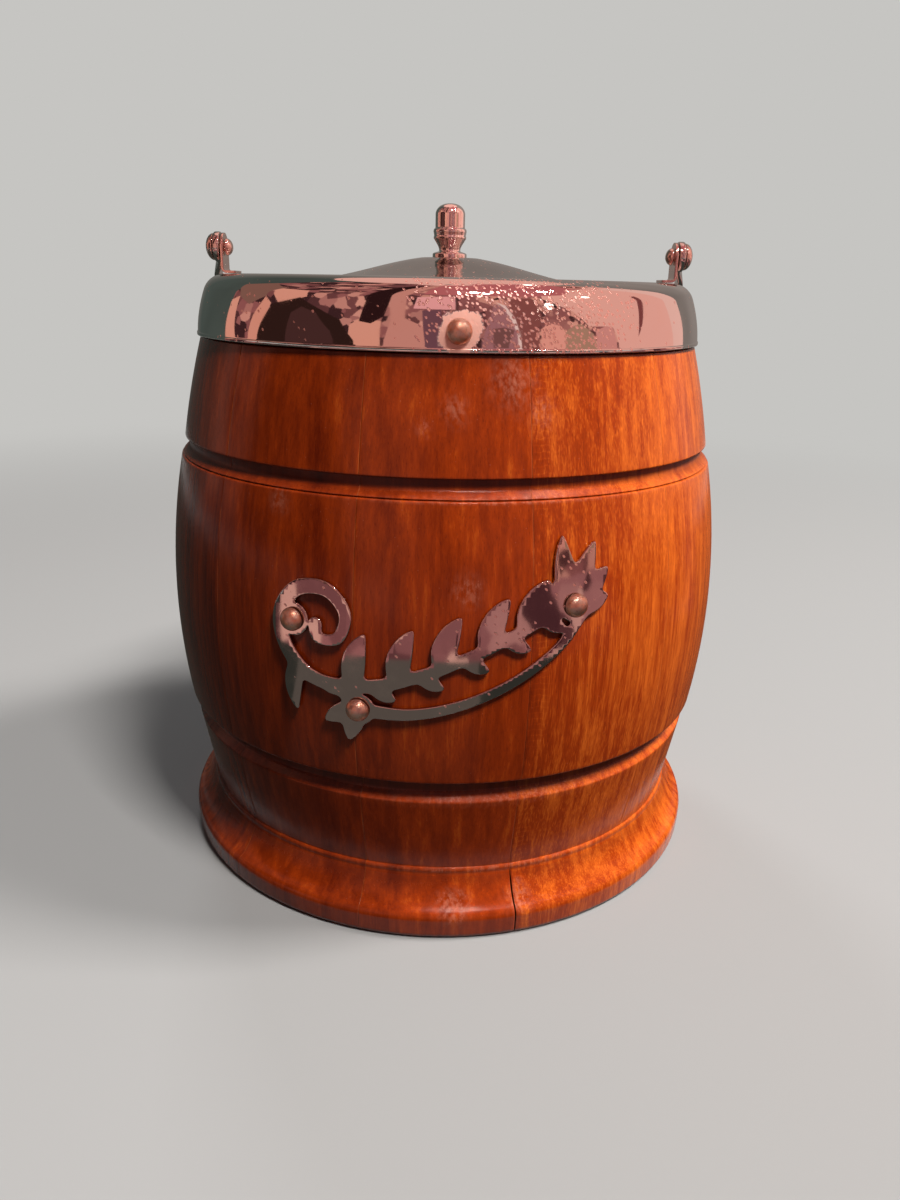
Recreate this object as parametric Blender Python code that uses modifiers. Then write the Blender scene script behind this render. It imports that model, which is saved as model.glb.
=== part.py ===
"""Biscuit barrel: turned wooden staves round a glazed liner, with a chromed collar, a lid and a swing handle.

Blender 4.5, metres, +Z up. The origin is on the barrel's axis, at the level that its foot stands on. The front,
with the ornament, faces -Y, and +X is to the right of someone who looks at the front.
"""

import math

import bmesh
import bpy
import numpy as np
from mathutils import Matrix, Vector

MM = 0.001

# Fits
GAP = 0.3 * MM                      # between faces that touch on the real object
SHEET = 0.8 * MM                    # chromed brass sheet of the collar and the lid

# Staves: straight blocks, glued edge to edge and then turned as one
STAVE_COUNT = 12
STAVE_STEPS = 4                     # facets across the outside of one stave
STAVE_JOINT = 0.3 * MM              # width of a joint at the widest part of the belly
BORE_RADIUS = 63.0 * MM
SPIGOT_CHAMFER = 1.0 * MM

# Belly and bands
BODY_HEIGHT = 153.4 * MM            # bottom edge of the collar
BELLY_RADIUS = 84.2 * MM
BELLY_HEIGHT = 78.5 * MM            # height of the widest part
BELLY_SWEEP = 194.0 * MM            # radius of the belly's upright curve
BAND_INSET = 0.7 * MM               # wood stands back from the collar's edge
BAND_BULGE = 0.4 * MM
UPPER_GROOVE_TOP = 125.6 * MM
UPPER_GROOVE_HEIGHT = 5.9 * MM
UPPER_BEAD_RADIUS = 1.4 * MM        # bead in the lower half of the upper groove
UPPER_BEAD_INSET = 0.4 * MM         # the bead stands back from the belly's edge
UPPER_QUIRK = 0.4 * MM              # narrow cut between the bead and the belly
LOWER_GROOVE_TOP = 47.5 * MM
LOWER_GROOVE_HEIGHT = 2.5 * MM
GROOVE_DEPTH = 2.1 * MM
LIP = 0.5 * MM                      # rounding of a groove's edges
LOWER_BEAD_HEIGHT = 4.3 * MM
LOWER_BEAD_RADIUS = 80.3 * MM
LOWER_BAND_TOP_RADIUS = 79.1 * MM
LOWER_BAND_LOW_RADIUS = 75.9 * MM

# Foot
FOOT_HEIGHT = 15.9 * MM             # top of the cove
FOOT_RADIUS = 82.9 * MM
FOOT_NOSE_HEIGHT = 6.8 * MM
FOOT_COVE_DEPTH = 1.0 * MM
FILLET_HEIGHT = 1.3 * MM
FILLET_PROUD = 0.6 * MM

# Base board
BOARD_THICKNESS = 8.0 * MM
REBATE_WIDTH = 4.5 * MM             # the staves hold the board in a rebate

# Liner
LINER_CLEARANCE = 1.5 * MM
LINER_WALL = 4.0 * MM
LINER_FLOOR = 5.0 * MM
LINER_FOOT_RADIUS = 4.0 * MM        # rounding of the liner's lower edge

# Collar
COLLAR_RADIUS = 73.0 * MM
COLLAR_HEIGHT = 16.3 * MM
COLLAR_LEAN = 2.0 * MM              # the wall draws in this much below the shoulder
COLLAR_SHOULDER = 6.3 * MM
COLLAR_LAND = 3.3 * MM              # flat ring inside the shoulder
COLLAR_BEAD = 0.35 * MM             # rolled lower edge, proud of the wall
WELL_DEPTH = 4.5 * MM               # the lid sits in this well

# Lid
LID_CLEARANCE = 0.4 * MM
LID_DOME_HEIGHT = 7.55 * MM         # of the whole bell curve above the lid's edge
LID_DOME_RADIUS = 53.0 * MM         # the bell curve runs out here
LID_EDGE_BELOW = 1.3 * MM           # lid's edge below the collar's top
LID_SEAT_RADIUS = 8.4 * MM          # the bell is flattened under the knob
SKIRT_DEPTH = 7.0 * MM              # below the ledge
SKIRT_CLEARANCE = 0.6 * MM

# Knob, with a threaded stud, a washer and a nut under the lid
KNOB_HEIGHT = 14.5 * MM
KNOB_CAP_RADIUS = 4.25 * MM
KNOB_CAP_CROWN = 3.4 * MM           # height of the cap's dome
KNOB_BEAD_RADIUS = 4.85 * MM
KNOB_BEAD_TOP = 7.6 * MM            # this and the next three are above the knob's base
KNOB_BEAD_LOW = 5.2 * MM
KNOB_WAIST_LOW = 2.1 * MM
KNOB_FLANGE_TOP = 1.2 * MM
KNOB_WAIST_RADIUS = 3.2 * MM
KNOB_FLANGE_RADIUS = 5.1 * MM
KNOB_EDGE = 0.45 * MM               # softening of the knob's steps
STUD_RADIUS = 1.6 * MM
WASHER_RADIUS = 5.0 * MM
WASHER_THICKNESS = 0.8 * MM
NUT_WIDTH = 6.0 * MM                # across the flats
NUT_HEIGHT = 2.4 * MM
STUD_PROUD = 0.8 * MM

# Lugs and rivets
LUG_OUTSET = 1.4 * MM               # plate's middle beyond the collar's flat ring
LUG_THICKNESS = 0.8 * MM
LUG_WIDTH = 7.8 * MM
LUG_FOOT_MARGIN = 0.9 * MM          # foot stops short of the well
PIVOT_HEIGHT = 7.5 * MM             # above the collar's top
RIVET_RADIUS = 1.3 * MM
RIVET_INNER_HEAD = 2.4 * MM
RIVET_INNER_DOME = 1.9 * MM
RIVET_OUTER_HEAD = 3.7 * MM
RIVET_OUTER_DOME = 2.3 * MM

# Bail: a flat strip bent to a U, with a round eye at each end
BAIL_REACH = 107.0 * MM             # pivot to the middle of the crown
BAIL_THICKNESS = 1.5 * MM
BAIL_WIDTH = 5.0 * MM
BAIL_SIDE_CLEARANCE = 1.0 * MM
BAIL_JOGGLE = 9.0 * MM              # the strip steps out past the collar over this length
BAIL_REST_GAP = 0.5 * MM
EYE_RADIUS = 4.2 * MM
EYE_THICKNESS = 1.9 * MM

# Dome-headed pins
PIN_HEAD_RADIUS = 3.05 * MM
PIN_DOME = 2.5 * MM
PIN_SHANK_RADIUS = 0.8 * MM
PIN_LENGTH = 7.5 * MM
PIN_TIP = 1.5 * MM
COLLAR_PIN_COUNT = 3
COLLAR_PIN_ANGLE = math.radians(2.0)
COLLAR_PIN_HEIGHT = 4.4 * MM        # above the collar's bottom edge

# Ornament: a pierced spray of leaves and scrolls, bent to the belly
DRAWING_UNIT = 1.0 * MM             # real length of one unit of the ornament's drawing
ORNAMENT_HEIGHT = 86.0 * MM         # height of the drawing's middle
ORNAMENT_THICKNESS = 0.9 * MM
ORNAMENT_GRID = 0.5 * MM
ORNAMENT_STEP = 1.45 * MM           # distance between the outline's points
ORNAMENT_FILLET = 0.5 * MM          # softness where two strokes meet
ORNAMENT_FOLD = 7.0 * MM            # the plate is bent at lines this far apart
BOSS_RADIUS = 4.3 * MM
UPPER_LEAVES = 6
LOWER_LEAVES = 5
PLATE_PINS = ((-37.6, 4.1), (32.7, 9.6), (-20.4, -17.2))   # across and up, in units of the drawing

TURN_STEPS = 48                     # facets round the collar and the board
LID_STEPS = 40
SMALL_STEPS = 16                    # facets round a pin, a rivet or the knob

# Heights and radii that follow from the sizes above
collar_top = BODY_HEIGHT + COLLAR_HEIGHT
neck_radius = COLLAR_RADIUS - COLLAR_LEAN
shoulder_radius = neck_radius - COLLAR_SHOULDER
shoulder_height = collar_top - COLLAR_SHOULDER
well_radius = shoulder_radius - COLLAR_LAND
ledge_top = collar_top - WELL_DEPTH
stave_top = ledge_top - SHEET - GAP
liner_radius = BORE_RADIUS - LINER_CLEARANCE
mouth_radius = liner_radius - LINER_WALL
spigot_radius = neck_radius - SHEET - GAP
lid_radius = well_radius - LID_CLEARANCE
lid_edge = collar_top - LID_EDGE_BELOW
pivot_height = collar_top + PIVOT_HEIGHT
lug_middle = shoulder_radius + LUG_OUTSET
eye_middle = lug_middle + LUG_THICKNESS / 2 + GAP + EYE_THICKNESS / 2

MATERIALS = {
    "varnished_beech": ((0.30, 0.075, 0.018), 0.28, 0.0),
    "plywood": ((0.42, 0.25, 0.12), 0.65, 0.0),
    "glazed_earthenware": ((0.80, 0.77, 0.69), 0.12, 0.0),
    "chromed_brass": ((0.62, 0.58, 0.56), 0.12, 1.0),
    "worn_brass": ((0.48, 0.27, 0.15), 0.35, 1.0),
    "steel": ((0.45, 0.44, 0.43), 0.40, 1.0),
}


def belly_radius(height):
    """Outer radius of the belly's curve at a height."""
    return BELLY_RADIUS - (height - BELLY_HEIGHT) ** 2 / (2 * BELLY_SWEEP)


def belly_slope(height):
    """Change of the belly's radius with height."""
    return -(height - BELLY_HEIGHT) / BELLY_SWEEP


def on_front(radius, angle, height):
    """Point at an angle from the front, counted towards +X."""
    return Vector((radius * math.sin(angle), -radius * math.cos(angle), height))


def arc(centre, radius, start, end, count):
    """Points on an arc, from one angle in degrees to another."""
    angles = [math.radians(start + (end - start) * i / (count - 1)) for i in range(count)]
    return [(centre[0] + radius * math.cos(a), centre[1] + radius * math.sin(a)) for a in angles]


def material(name):
    """The named material, made on first use."""
    if name in bpy.data.materials:
        return bpy.data.materials[name]
    colour, roughness, metallic = MATERIALS[name]
    result = bpy.data.materials.new(name)
    result.use_nodes = True
    shader = result.node_tree.nodes["Principled BSDF"]
    shader.inputs["Base Color"].default_value = (*colour, 1.0)
    shader.inputs["Roughness"].default_value = roughness
    shader.inputs["Metallic"].default_value = metallic
    return result


def collection(name):
    """The named collection, made on first use."""
    if name not in bpy.data.collections:
        bpy.context.scene.collection.children.link(bpy.data.collections.new(name))
    return bpy.data.collections[name]


def add_object(name, data, group="biscuit_barrel"):
    """Put a mesh, curve or empty into the scene."""
    result = bpy.data.objects.new(name, data)
    collection(group).objects.link(result)
    return result


def mesh_from(bm, name):
    """Turn a bmesh into a mesh with its faces pointing out."""
    bmesh.ops.recalc_face_normals(bm, faces=bm.faces)
    mesh = bpy.data.meshes.new(name)
    bm.to_mesh(mesh)
    bm.free()
    return mesh


def evaluated_mesh(source):
    """A copy of an object's mesh with its modifiers applied and its seams welded."""
    graph = bpy.context.evaluated_depsgraph_get()
    mesh = bpy.data.meshes.new_from_object(source.evaluated_get(graph))
    bm = bmesh.new()
    bm.from_mesh(mesh)
    bmesh.ops.remove_doubles(bm, verts=bm.verts, dist=0.001 * MM)
    bm.to_mesh(mesh)
    bm.free()
    return mesh


def shade(mesh):
    """Smooth shading with sharp edges where two faces meet at more than 35 degrees."""
    mesh.shade_smooth()
    mesh.set_sharp_from_angle(angle=math.radians(35))


def freeze(source, finish):
    """Apply the modifiers, or turn a curve into a mesh, and give the piece its material."""
    bpy.context.view_layer.update()
    mesh = evaluated_mesh(source)
    shade(mesh)
    mesh.materials.clear()
    mesh.materials.append(material(finish))
    name = source.name
    result = add_object(name + "_solid", mesh)
    result.matrix_world = source.matrix_world
    bpy.data.objects.remove(source)
    result.name = name
    mesh.name = name
    return result


def hang(piece, parent):
    """Parent a piece without moving it."""
    piece.parent = parent
    piece.matrix_parent_inverse = parent.matrix_world.inverted()


def lathe(name, profile, steps, closed=True):
    """A profile of (radius, height) points, turned about Z. It runs down its outer side."""
    mesh = bpy.data.meshes.new(name)
    count = len(profile)
    edges = [(i, (i + 1) % count) for i in range(count if closed else count - 1)]
    mesh.from_pydata([(r, 0.0, z) for r, z in profile], edges, [])
    result = add_object(name, mesh)
    screw = result.modifiers.new("Turn", "SCREW")
    screw.steps = steps
    screw.render_steps = steps
    screw.use_merge_vertices = True
    screw.merge_threshold = 0.001 * MM
    return result


def cylinder(name, radius, depth, segments, group="biscuit_barrel"):
    """A closed cylinder about Z, centred on its origin."""
    bm = bmesh.new()
    bmesh.ops.create_cone(
        bm, cap_ends=True, segments=segments, radius1=radius, radius2=radius, depth=depth
    )
    return add_object(name, mesh_from(bm, name), group)


def as_cutter(shape):
    """Hide a shape that only cuts others."""
    shape.hide_render = True
    shape.display_type = "WIRE"
    return shape


def combine(target, other, operation):
    """Add a Boolean to an object."""
    boolean = target.modifiers.new(operation.title(), "BOOLEAN")
    boolean.operation = operation
    boolean.solver = "EXACT"
    boolean.object = other


def stave_profile():
    """Section of one stave, from the bore's top round the outside to the foot and back up the bore."""
    band_top_radius = COLLAR_RADIUS - BAND_INSET
    band_top = BODY_HEIGHT - GAP
    groove_radius = belly_radius(UPPER_GROOVE_TOP)
    points = [
        (BORE_RADIUS, stave_top),
        (spigot_radius - SPIGOT_CHAMFER, stave_top),
        (spigot_radius, stave_top - SPIGOT_CHAMFER),
        (spigot_radius, band_top),
    ]
    band_low = UPPER_GROOVE_TOP + LIP
    for i in range(5):
        t = i / 4
        radius = band_top_radius + (groove_radius - band_top_radius) * t
        points.append((radius + BAND_BULGE * 4 * t * (1 - t), band_top + (band_low - band_top) * t))
    belly_top = UPPER_GROOVE_TOP - UPPER_GROOVE_HEIGHT
    belly_low = LOWER_GROOVE_TOP
    bead_height = belly_top + UPPER_QUIRK + UPPER_BEAD_RADIUS
    bead_centre = belly_radius(belly_top) - UPPER_BEAD_INSET - UPPER_BEAD_RADIUS
    points += [
        (groove_radius - LIP / 2, UPPER_GROOVE_TOP),
        (groove_radius - GROOVE_DEPTH, UPPER_GROOVE_TOP - LIP / 2),
        (groove_radius - GROOVE_DEPTH, bead_height + UPPER_BEAD_RADIUS),
    ]
    points += arc((bead_centre, bead_height), UPPER_BEAD_RADIUS, 90, -60, 6)
    points.append((belly_radius(belly_top) - LIP, belly_top))
    for i in range(8):
        height = belly_top - LIP + (belly_low + 2 * LIP - belly_top) * i / 7
        points.append((belly_radius(height), height))
    low_radius = belly_radius(belly_low)
    bead_top = belly_low - LOWER_GROOVE_HEIGHT
    bead_low = bead_top - LOWER_BEAD_HEIGHT
    bead_root = LOWER_BEAD_RADIUS - GROOVE_DEPTH
    points += [
        (low_radius - LIP / 2, belly_low),
        (bead_root, belly_low - LIP / 2),
        (bead_root, bead_top),
        (LOWER_BEAD_RADIUS - LIP, bead_top - LOWER_BEAD_HEIGHT * 0.1),
        (LOWER_BEAD_RADIUS, bead_top - LOWER_BEAD_HEIGHT * 0.35),
        (LOWER_BEAD_RADIUS, bead_top - LOWER_BEAD_HEIGHT * 0.7),
        (LOWER_BEAD_RADIUS - LIP, bead_low),
        (LOWER_BAND_TOP_RADIUS, bead_low),
    ]
    fillet_top = FOOT_HEIGHT + FILLET_HEIGHT
    points += [
        (LOWER_BAND_LOW_RADIUS, fillet_top),
        (LOWER_BAND_LOW_RADIUS + FILLET_PROUD, fillet_top - FILLET_HEIGHT / 2),
        (LOWER_BAND_LOW_RADIUS + FILLET_PROUD / 2, FOOT_HEIGHT),
    ]
    nose_drop = FOOT_NOSE_HEIGHT / 3
    cove_end = FOOT_RADIUS - nose_drop / 2
    for i in range(1, 5):
        t = i / 5
        radius = LOWER_BAND_LOW_RADIUS + (cove_end - LOWER_BAND_LOW_RADIUS) * t
        height = FOOT_HEIGHT + (FOOT_NOSE_HEIGHT - FOOT_HEIGHT) * t
        points.append((radius, height - FOOT_COVE_DEPTH * 4 * t * (1 - t)))
    points += [
        (cove_end, FOOT_NOSE_HEIGHT),
        (FOOT_RADIUS - nose_drop / 8, FOOT_NOSE_HEIGHT - nose_drop * 0.6),
        (FOOT_RADIUS, FOOT_NOSE_HEIGHT - nose_drop * 1.4),
        (FOOT_RADIUS - nose_drop / 6, nose_drop * 0.4),
        (FOOT_RADIUS - nose_drop / 2, 0.0),
        (BORE_RADIUS + REBATE_WIDTH, 0.0),
        (BORE_RADIUS + REBATE_WIDTH, BOARD_THICKNESS + GAP),
        (BORE_RADIUS, BOARD_THICKNESS + GAP),
    ]
    return points


def stave_mesh():
    """One stave, its middle towards the front."""
    half_angle = math.pi / STAVE_COUNT - STAVE_JOINT / 2 / BELLY_RADIUS
    bm = bmesh.new()
    side = bm.faces.new([bm.verts.new(on_front(r, -half_angle, z)) for r, z in stave_profile()])
    bmesh.ops.spin(
        bm,
        geom=[side, *side.edges, *side.verts],
        cent=(0.0, 0.0, 0.0),
        axis=(0.0, 0.0, 1.0),
        angle=2 * half_angle,
        steps=STAVE_STEPS,
    )
    return mesh_from(bm, "stave")


def make_staves(pin_cutters):
    """The staves, counted from the front towards +X, drilled where a pin goes in."""
    mesh = stave_mesh()
    pitch = 2 * math.pi / STAVE_COUNT
    for i in range(STAVE_COUNT):
        stave = add_object(f"stave_{i + 1:02d}", mesh.copy())
        stave.rotation_euler.z = i * pitch
        for angle, cutter in pin_cutters:
            offset = (angle - i * pitch + math.pi) % (2 * math.pi) - math.pi
            if abs(offset) < pitch / 2 + PIN_HEAD_RADIUS / BORE_RADIUS:
                combine(stave, cutter, "DIFFERENCE")
        freeze(stave, "varnished_beech")


def make_base_board():
    """A plain disc let into the rebate, flush with the foot."""
    radius = BORE_RADIUS + REBATE_WIDTH - GAP
    profile = [(0.0, BOARD_THICKNESS), (radius, BOARD_THICKNESS), (radius, 0.0), (0.0, 0.0)]
    freeze(lathe("base_board", profile, TURN_STEPS, closed=False), "plywood")


def make_liner():
    """A straight-sided pot that stands on the board, its rim under the collar's ledge."""
    bottom = BOARD_THICKNESS + GAP
    floor = bottom + LINER_FLOOR
    inner_round = LINER_FOOT_RADIUS * 0.6
    rim_height = stave_top - LINER_WALL / 2
    profile = [(0.0, floor)]
    profile += arc((mouth_radius - inner_round, floor + inner_round), inner_round, -90, 0, 3)
    profile += arc((mouth_radius + LINER_WALL / 2, rim_height), LINER_WALL / 2, 180, 0, 5)
    profile += arc((liner_radius - LINER_FOOT_RADIUS, bottom + LINER_FOOT_RADIUS), LINER_FOOT_RADIUS, 0, -90, 4)
    profile.append((0.0, bottom))
    freeze(lathe("ceramic_liner", profile, LID_STEPS, closed=False), "glazed_earthenware")


def collar_wall_radius(height):
    """Outer radius of the collar's leaning wall."""
    lean = COLLAR_LEAN / (shoulder_height - BODY_HEIGHT)
    return COLLAR_RADIUS - lean * (height - BODY_HEIGHT)


def make_collar(pin_cutters):
    """Pressed ring: leaning wall, round shoulder, flat land, and a well with a ledge for the lid."""
    shoulder = (shoulder_radius, shoulder_height)
    outer = arc(shoulder, COLLAR_SHOULDER, 90, 0, 5)
    inner = arc(shoulder, COLLAR_SHOULDER - SHEET, 0, 90, 4)
    bead_height = BODY_HEIGHT + 2 * COLLAR_BEAD
    profile = [(well_radius, ledge_top), (well_radius, collar_top - SHEET / 2), (well_radius + SHEET / 2, collar_top)]
    profile += outer
    profile += [
        (collar_wall_radius(bead_height + COLLAR_BEAD), bead_height + COLLAR_BEAD),
        (COLLAR_RADIUS + COLLAR_BEAD * 0.6, bead_height),
        (COLLAR_RADIUS + COLLAR_BEAD * 0.6, BODY_HEIGHT),
        (COLLAR_RADIUS - SHEET, BODY_HEIGHT),
    ]
    profile += inner
    profile += [
        (well_radius + SHEET, collar_top - SHEET),
        (well_radius + SHEET, ledge_top - SHEET),
        (mouth_radius, ledge_top - SHEET),
        (mouth_radius, ledge_top),
    ]
    collar = lathe("rim_collar", profile, TURN_STEPS)
    for _, cutter in pin_cutters:
        combine(collar, cutter, "DIFFERENCE")
    freeze(collar, "chromed_brass")


def lid_height(radius):
    """Height of the lid's upper face: flat under the knob, then a low bell down to a flat rim."""
    t = min(max(radius, LID_SEAT_RADIUS) / LID_DOME_RADIUS, 1.0)
    return lid_edge + LID_DOME_HEIGHT * (1 + math.cos(math.pi * t)) / 2


def make_lid(seat):
    """Spun lid with a down-turned edge on the ledge and a skirt inside the liner's mouth."""
    edge_bottom = ledge_top + GAP
    skirt_outer = mouth_radius - SKIRT_CLEARANCE
    skirt_inner = skirt_outer - SHEET
    skirt_bottom = ledge_top - SKIRT_DEPTH
    hole = STUD_RADIUS + GAP
    reach = lid_radius - SHEET - LID_SEAT_RADIUS
    sweep = [LID_SEAT_RADIUS + reach * (9 - i) / 9 for i in range(10)]
    upper = [(hole, lid_height(hole))] + [(r, lid_height(r)) for r in reversed(sweep)]
    under = [(r, lid_height(r) - SHEET) for r in sweep if r < skirt_inner - SHEET]
    profile = upper + [
        (lid_radius, lid_edge - SHEET),
        (lid_radius, edge_bottom),
        (lid_radius - SHEET, edge_bottom),
        (lid_radius - SHEET, lid_edge - SHEET),
        (skirt_outer, lid_height(skirt_outer) - SHEET),
        (skirt_outer, skirt_bottom),
        (skirt_inner, skirt_bottom),
        (skirt_inner, lid_height(skirt_inner) - SHEET),
    ]
    profile += under + [(hole, lid_height(hole) - SHEET)]
    hang(freeze(lathe("lid", profile, LID_STEPS), "chromed_brass"), seat)


def make_knob(seat):
    """Turned knob on a stud that passes through the lid."""
    lid_crown = lid_height(0.0)
    base = lid_crown + GAP
    top = base + KNOB_HEIGHT
    stud_end = lid_crown - SHEET - WASHER_THICKNESS - NUT_HEIGHT - 2 * GAP - STUD_PROUD
    dome = [
        (KNOB_CAP_RADIUS * math.sin(a), top - KNOB_CAP_CROWN * (1 - math.cos(a)))
        for a in (math.radians(18 * i) for i in range(6))
    ]
    profile = dome + [
        (KNOB_CAP_RADIUS, base + KNOB_BEAD_TOP),
        (KNOB_BEAD_RADIUS, base + KNOB_BEAD_TOP - KNOB_EDGE),
        (KNOB_BEAD_RADIUS, base + KNOB_BEAD_LOW),
        (KNOB_WAIST_RADIUS, base + KNOB_WAIST_LOW),
        (KNOB_WAIST_RADIUS + KNOB_EDGE, base + KNOB_FLANGE_TOP + KNOB_EDGE),
        (KNOB_FLANGE_RADIUS, base + KNOB_FLANGE_TOP),
        (KNOB_FLANGE_RADIUS, base),
        (STUD_RADIUS, base),
        (STUD_RADIUS, stud_end + STUD_RADIUS / 4),
        (STUD_RADIUS * 0.75, stud_end),
        (0.0, stud_end),
    ]
    knob = lathe("lid_knob", profile, SMALL_STEPS, closed=False)
    washer_top = lid_crown - SHEET - GAP
    hole = STUD_RADIUS + GAP
    washer_profile = [
        (hole, washer_top),
        (WASHER_RADIUS, washer_top),
        (WASHER_RADIUS, washer_top - WASHER_THICKNESS),
        (hole, washer_top - WASHER_THICKNESS),
    ]
    washer = lathe("knob_washer", washer_profile, SMALL_STEPS)
    nut_radius = NUT_WIDTH / 2 / math.cos(math.pi / 6)
    nut = cylinder("knob_nut", nut_radius, NUT_HEIGHT, 6)
    nut.location.z = washer_top - WASHER_THICKNESS - GAP - NUT_HEIGHT / 2
    drill = as_cutter(cylinder("nut_drill", hole, 2 * NUT_HEIGHT, SMALL_STEPS, "cutters"))
    drill.location = nut.location
    combine(nut, drill, "DIFFERENCE")
    for piece, finish in ((knob, "chromed_brass"), (washer, "steel"), (nut, "worn_brass")):
        hang(freeze(piece, finish), seat)


def make_lug(name, side):
    """Bent lug: an upright plate with a round top and a foot that lies on the collar's land."""
    foot_bottom = collar_top + GAP
    radius = LUG_WIDTH / 2
    outline = [(-radius, foot_bottom - pivot_height)]
    outline += [(-x, z) for x, z in arc((0.0, 0.0), radius, 0, 180, 13)]
    outline.append((radius, foot_bottom - pivot_height))
    hole = arc((0.0, 0.0), RIVET_RADIUS + GAP, 0, 330, 12)
    curve = bpy.data.curves.new(name, "CURVE")
    curve.dimensions = "2D"
    curve.fill_mode = "BOTH"
    curve.extrude = LUG_THICKNESS / 2
    for points in (outline, hole):
        add_loop(curve, points)
    plate = add_object(name, curve)
    upright = Matrix.Rotation(math.pi / 2, 4, "Z") @ Matrix.Rotation(math.pi / 2, 4, "X")
    plate.matrix_world = Matrix.Translation((side * lug_middle, 0.0, pivot_height)) @ upright
    lug = freeze(plate, "chromed_brass")
    foot_end = well_radius + LUG_FOOT_MARGIN
    foot_length = lug_middle - foot_end
    foot = bmesh.new()
    bmesh.ops.create_cube(foot, size=1.0)
    bmesh.ops.scale(foot, vec=(foot_length, LUG_WIDTH, SHEET), verts=foot.verts)
    middle = Vector((side * (foot_end + foot_length / 2), 0.0, foot_bottom + SHEET / 2))
    bmesh.ops.translate(foot, vec=middle, verts=foot.verts)
    block = as_cutter(add_object(name + "_foot", mesh_from(foot, name + "_foot"), "cutters"))
    combine(lug, block, "UNION")
    freeze(lug, "chromed_brass")


def add_loop(curve, points):
    """Add a closed outline to a curve."""
    spline = curve.splines.new("POLY")
    spline.points.add(len(points) - 1)
    for target, point in zip(spline.points, points):
        target.co = (point[0], point[1], 0.0, 1.0)
    spline.use_cyclic_u = True


def make_rivet(name, side):
    """Rivet through a lug and the bail's eye, with a small inner head and a large outer one."""
    plate_inner = lug_middle - LUG_THICKNESS / 2 - GAP
    outer_base = eye_middle + EYE_THICKNESS / 2 + GAP
    steps = [math.radians(90 * i / 4) for i in range(5)]
    outer = [(RIVET_OUTER_HEAD * math.sin(a), outer_base + RIVET_OUTER_DOME * math.cos(a)) for a in steps]
    inner = [(RIVET_INNER_HEAD * math.cos(a), plate_inner - RIVET_INNER_DOME * math.sin(a)) for a in steps]
    profile = outer + [(RIVET_RADIUS, outer_base), (RIVET_RADIUS, plate_inner)] + inner
    profile[0] = (0.0, profile[0][1])
    profile[-1] = (0.0, profile[-1][1])
    rivet = lathe(name, profile, SMALL_STEPS, closed=False)
    rivet.location.z = pivot_height
    rivet.rotation_euler.y = side * math.pi / 2
    freeze(rivet, "chromed_brass")


def bail_half_width(rest_angle):
    """Middle of the strip: it passes the collar's shoulder with the side clearance."""
    drop = pivot_height - shoulder_height
    passing = drop / math.tan(rest_angle)
    chord = math.sqrt(max(neck_radius ** 2 - passing ** 2, shoulder_radius ** 2))
    return chord + BAIL_SIDE_CLEARANCE + BAIL_THICKNESS / 2


def bail_rest_angle():
    """Angle below level at which the crown's inner edge comes to the belly's back."""
    low, high = math.radians(5), math.radians(85)
    for _ in range(40):
        angle = (low + high) / 2
        reach = BAIL_REACH - BAIL_THICKNESS / 2
        depth = reach * math.cos(angle) - BAIL_WIDTH / 2 * math.sin(angle)
        height = pivot_height - reach * math.sin(angle) - BAIL_WIDTH / 2 * math.cos(angle)
        if depth > belly_radius(height) + BAIL_REST_GAP:
            low = angle
        else:
            high = angle
    return low


def bail_path(half_width):
    """Middle line of the strip, from one eye out past the collar, round the crown and back."""
    straight = BAIL_REACH - half_width
    joggle_start = EYE_RADIUS * 0.6
    side = [(eye_middle, 0.0), (eye_middle, joggle_start)]
    for i in range(1, 6):
        t = i / 5
        ease = (1 - math.cos(math.pi * t)) / 2
        side.append((eye_middle + (half_width - eye_middle) * ease, joggle_start + BAIL_JOGGLE * t))
    crown = arc((0.0, straight), half_width, 0, 180, 29)
    return side + crown + [(-x, y) for x, y in reversed(side)]


def make_bail():
    """Swing handle, hanging down behind the barrel. Its origin is on the rivets' axis."""
    rest_angle = bail_rest_angle()
    curve = bpy.data.curves.new("bail_handle", "CURVE")
    curve.dimensions = "3D"
    curve.twist_mode = "Z_UP"
    curve.fill_mode = "FULL"
    curve.extrude = (BAIL_WIDTH - BAIL_THICKNESS) / 2
    curve.bevel_depth = BAIL_THICKNESS / 2
    curve.bevel_resolution = 1
    curve.use_fill_caps = True
    points = bail_path(bail_half_width(rest_angle))
    spline = curve.splines.new("POLY")
    spline.points.add(len(points) - 1)
    for target, point in zip(spline.points, points):
        target.co = (point[0], point[1], 0.0, 1.0)
    strip = add_object("bail_handle", curve)
    strip.location.z = pivot_height
    strip.rotation_euler.x = -rest_angle
    bail = freeze(strip, "chromed_brass")
    for side in (-1, 1):
        place = Matrix.Translation((side * eye_middle, 0.0, pivot_height)) @ Matrix.Rotation(math.pi / 2, 4, "Y")
        eye = as_cutter(cylinder(f"eye_{side}", EYE_RADIUS, EYE_THICKNESS, SMALL_STEPS, "cutters"))
        eye.matrix_world = place
        hole = as_cutter(
            cylinder(f"eye_hole_{side}", RIVET_RADIUS + GAP, 3 * EYE_THICKNESS, SMALL_STEPS, "cutters")
        )
        hole.matrix_world = place
        combine(bail, eye, "UNION")
        combine(bail, hole, "DIFFERENCE")
    freeze(bail, "chromed_brass")


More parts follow.
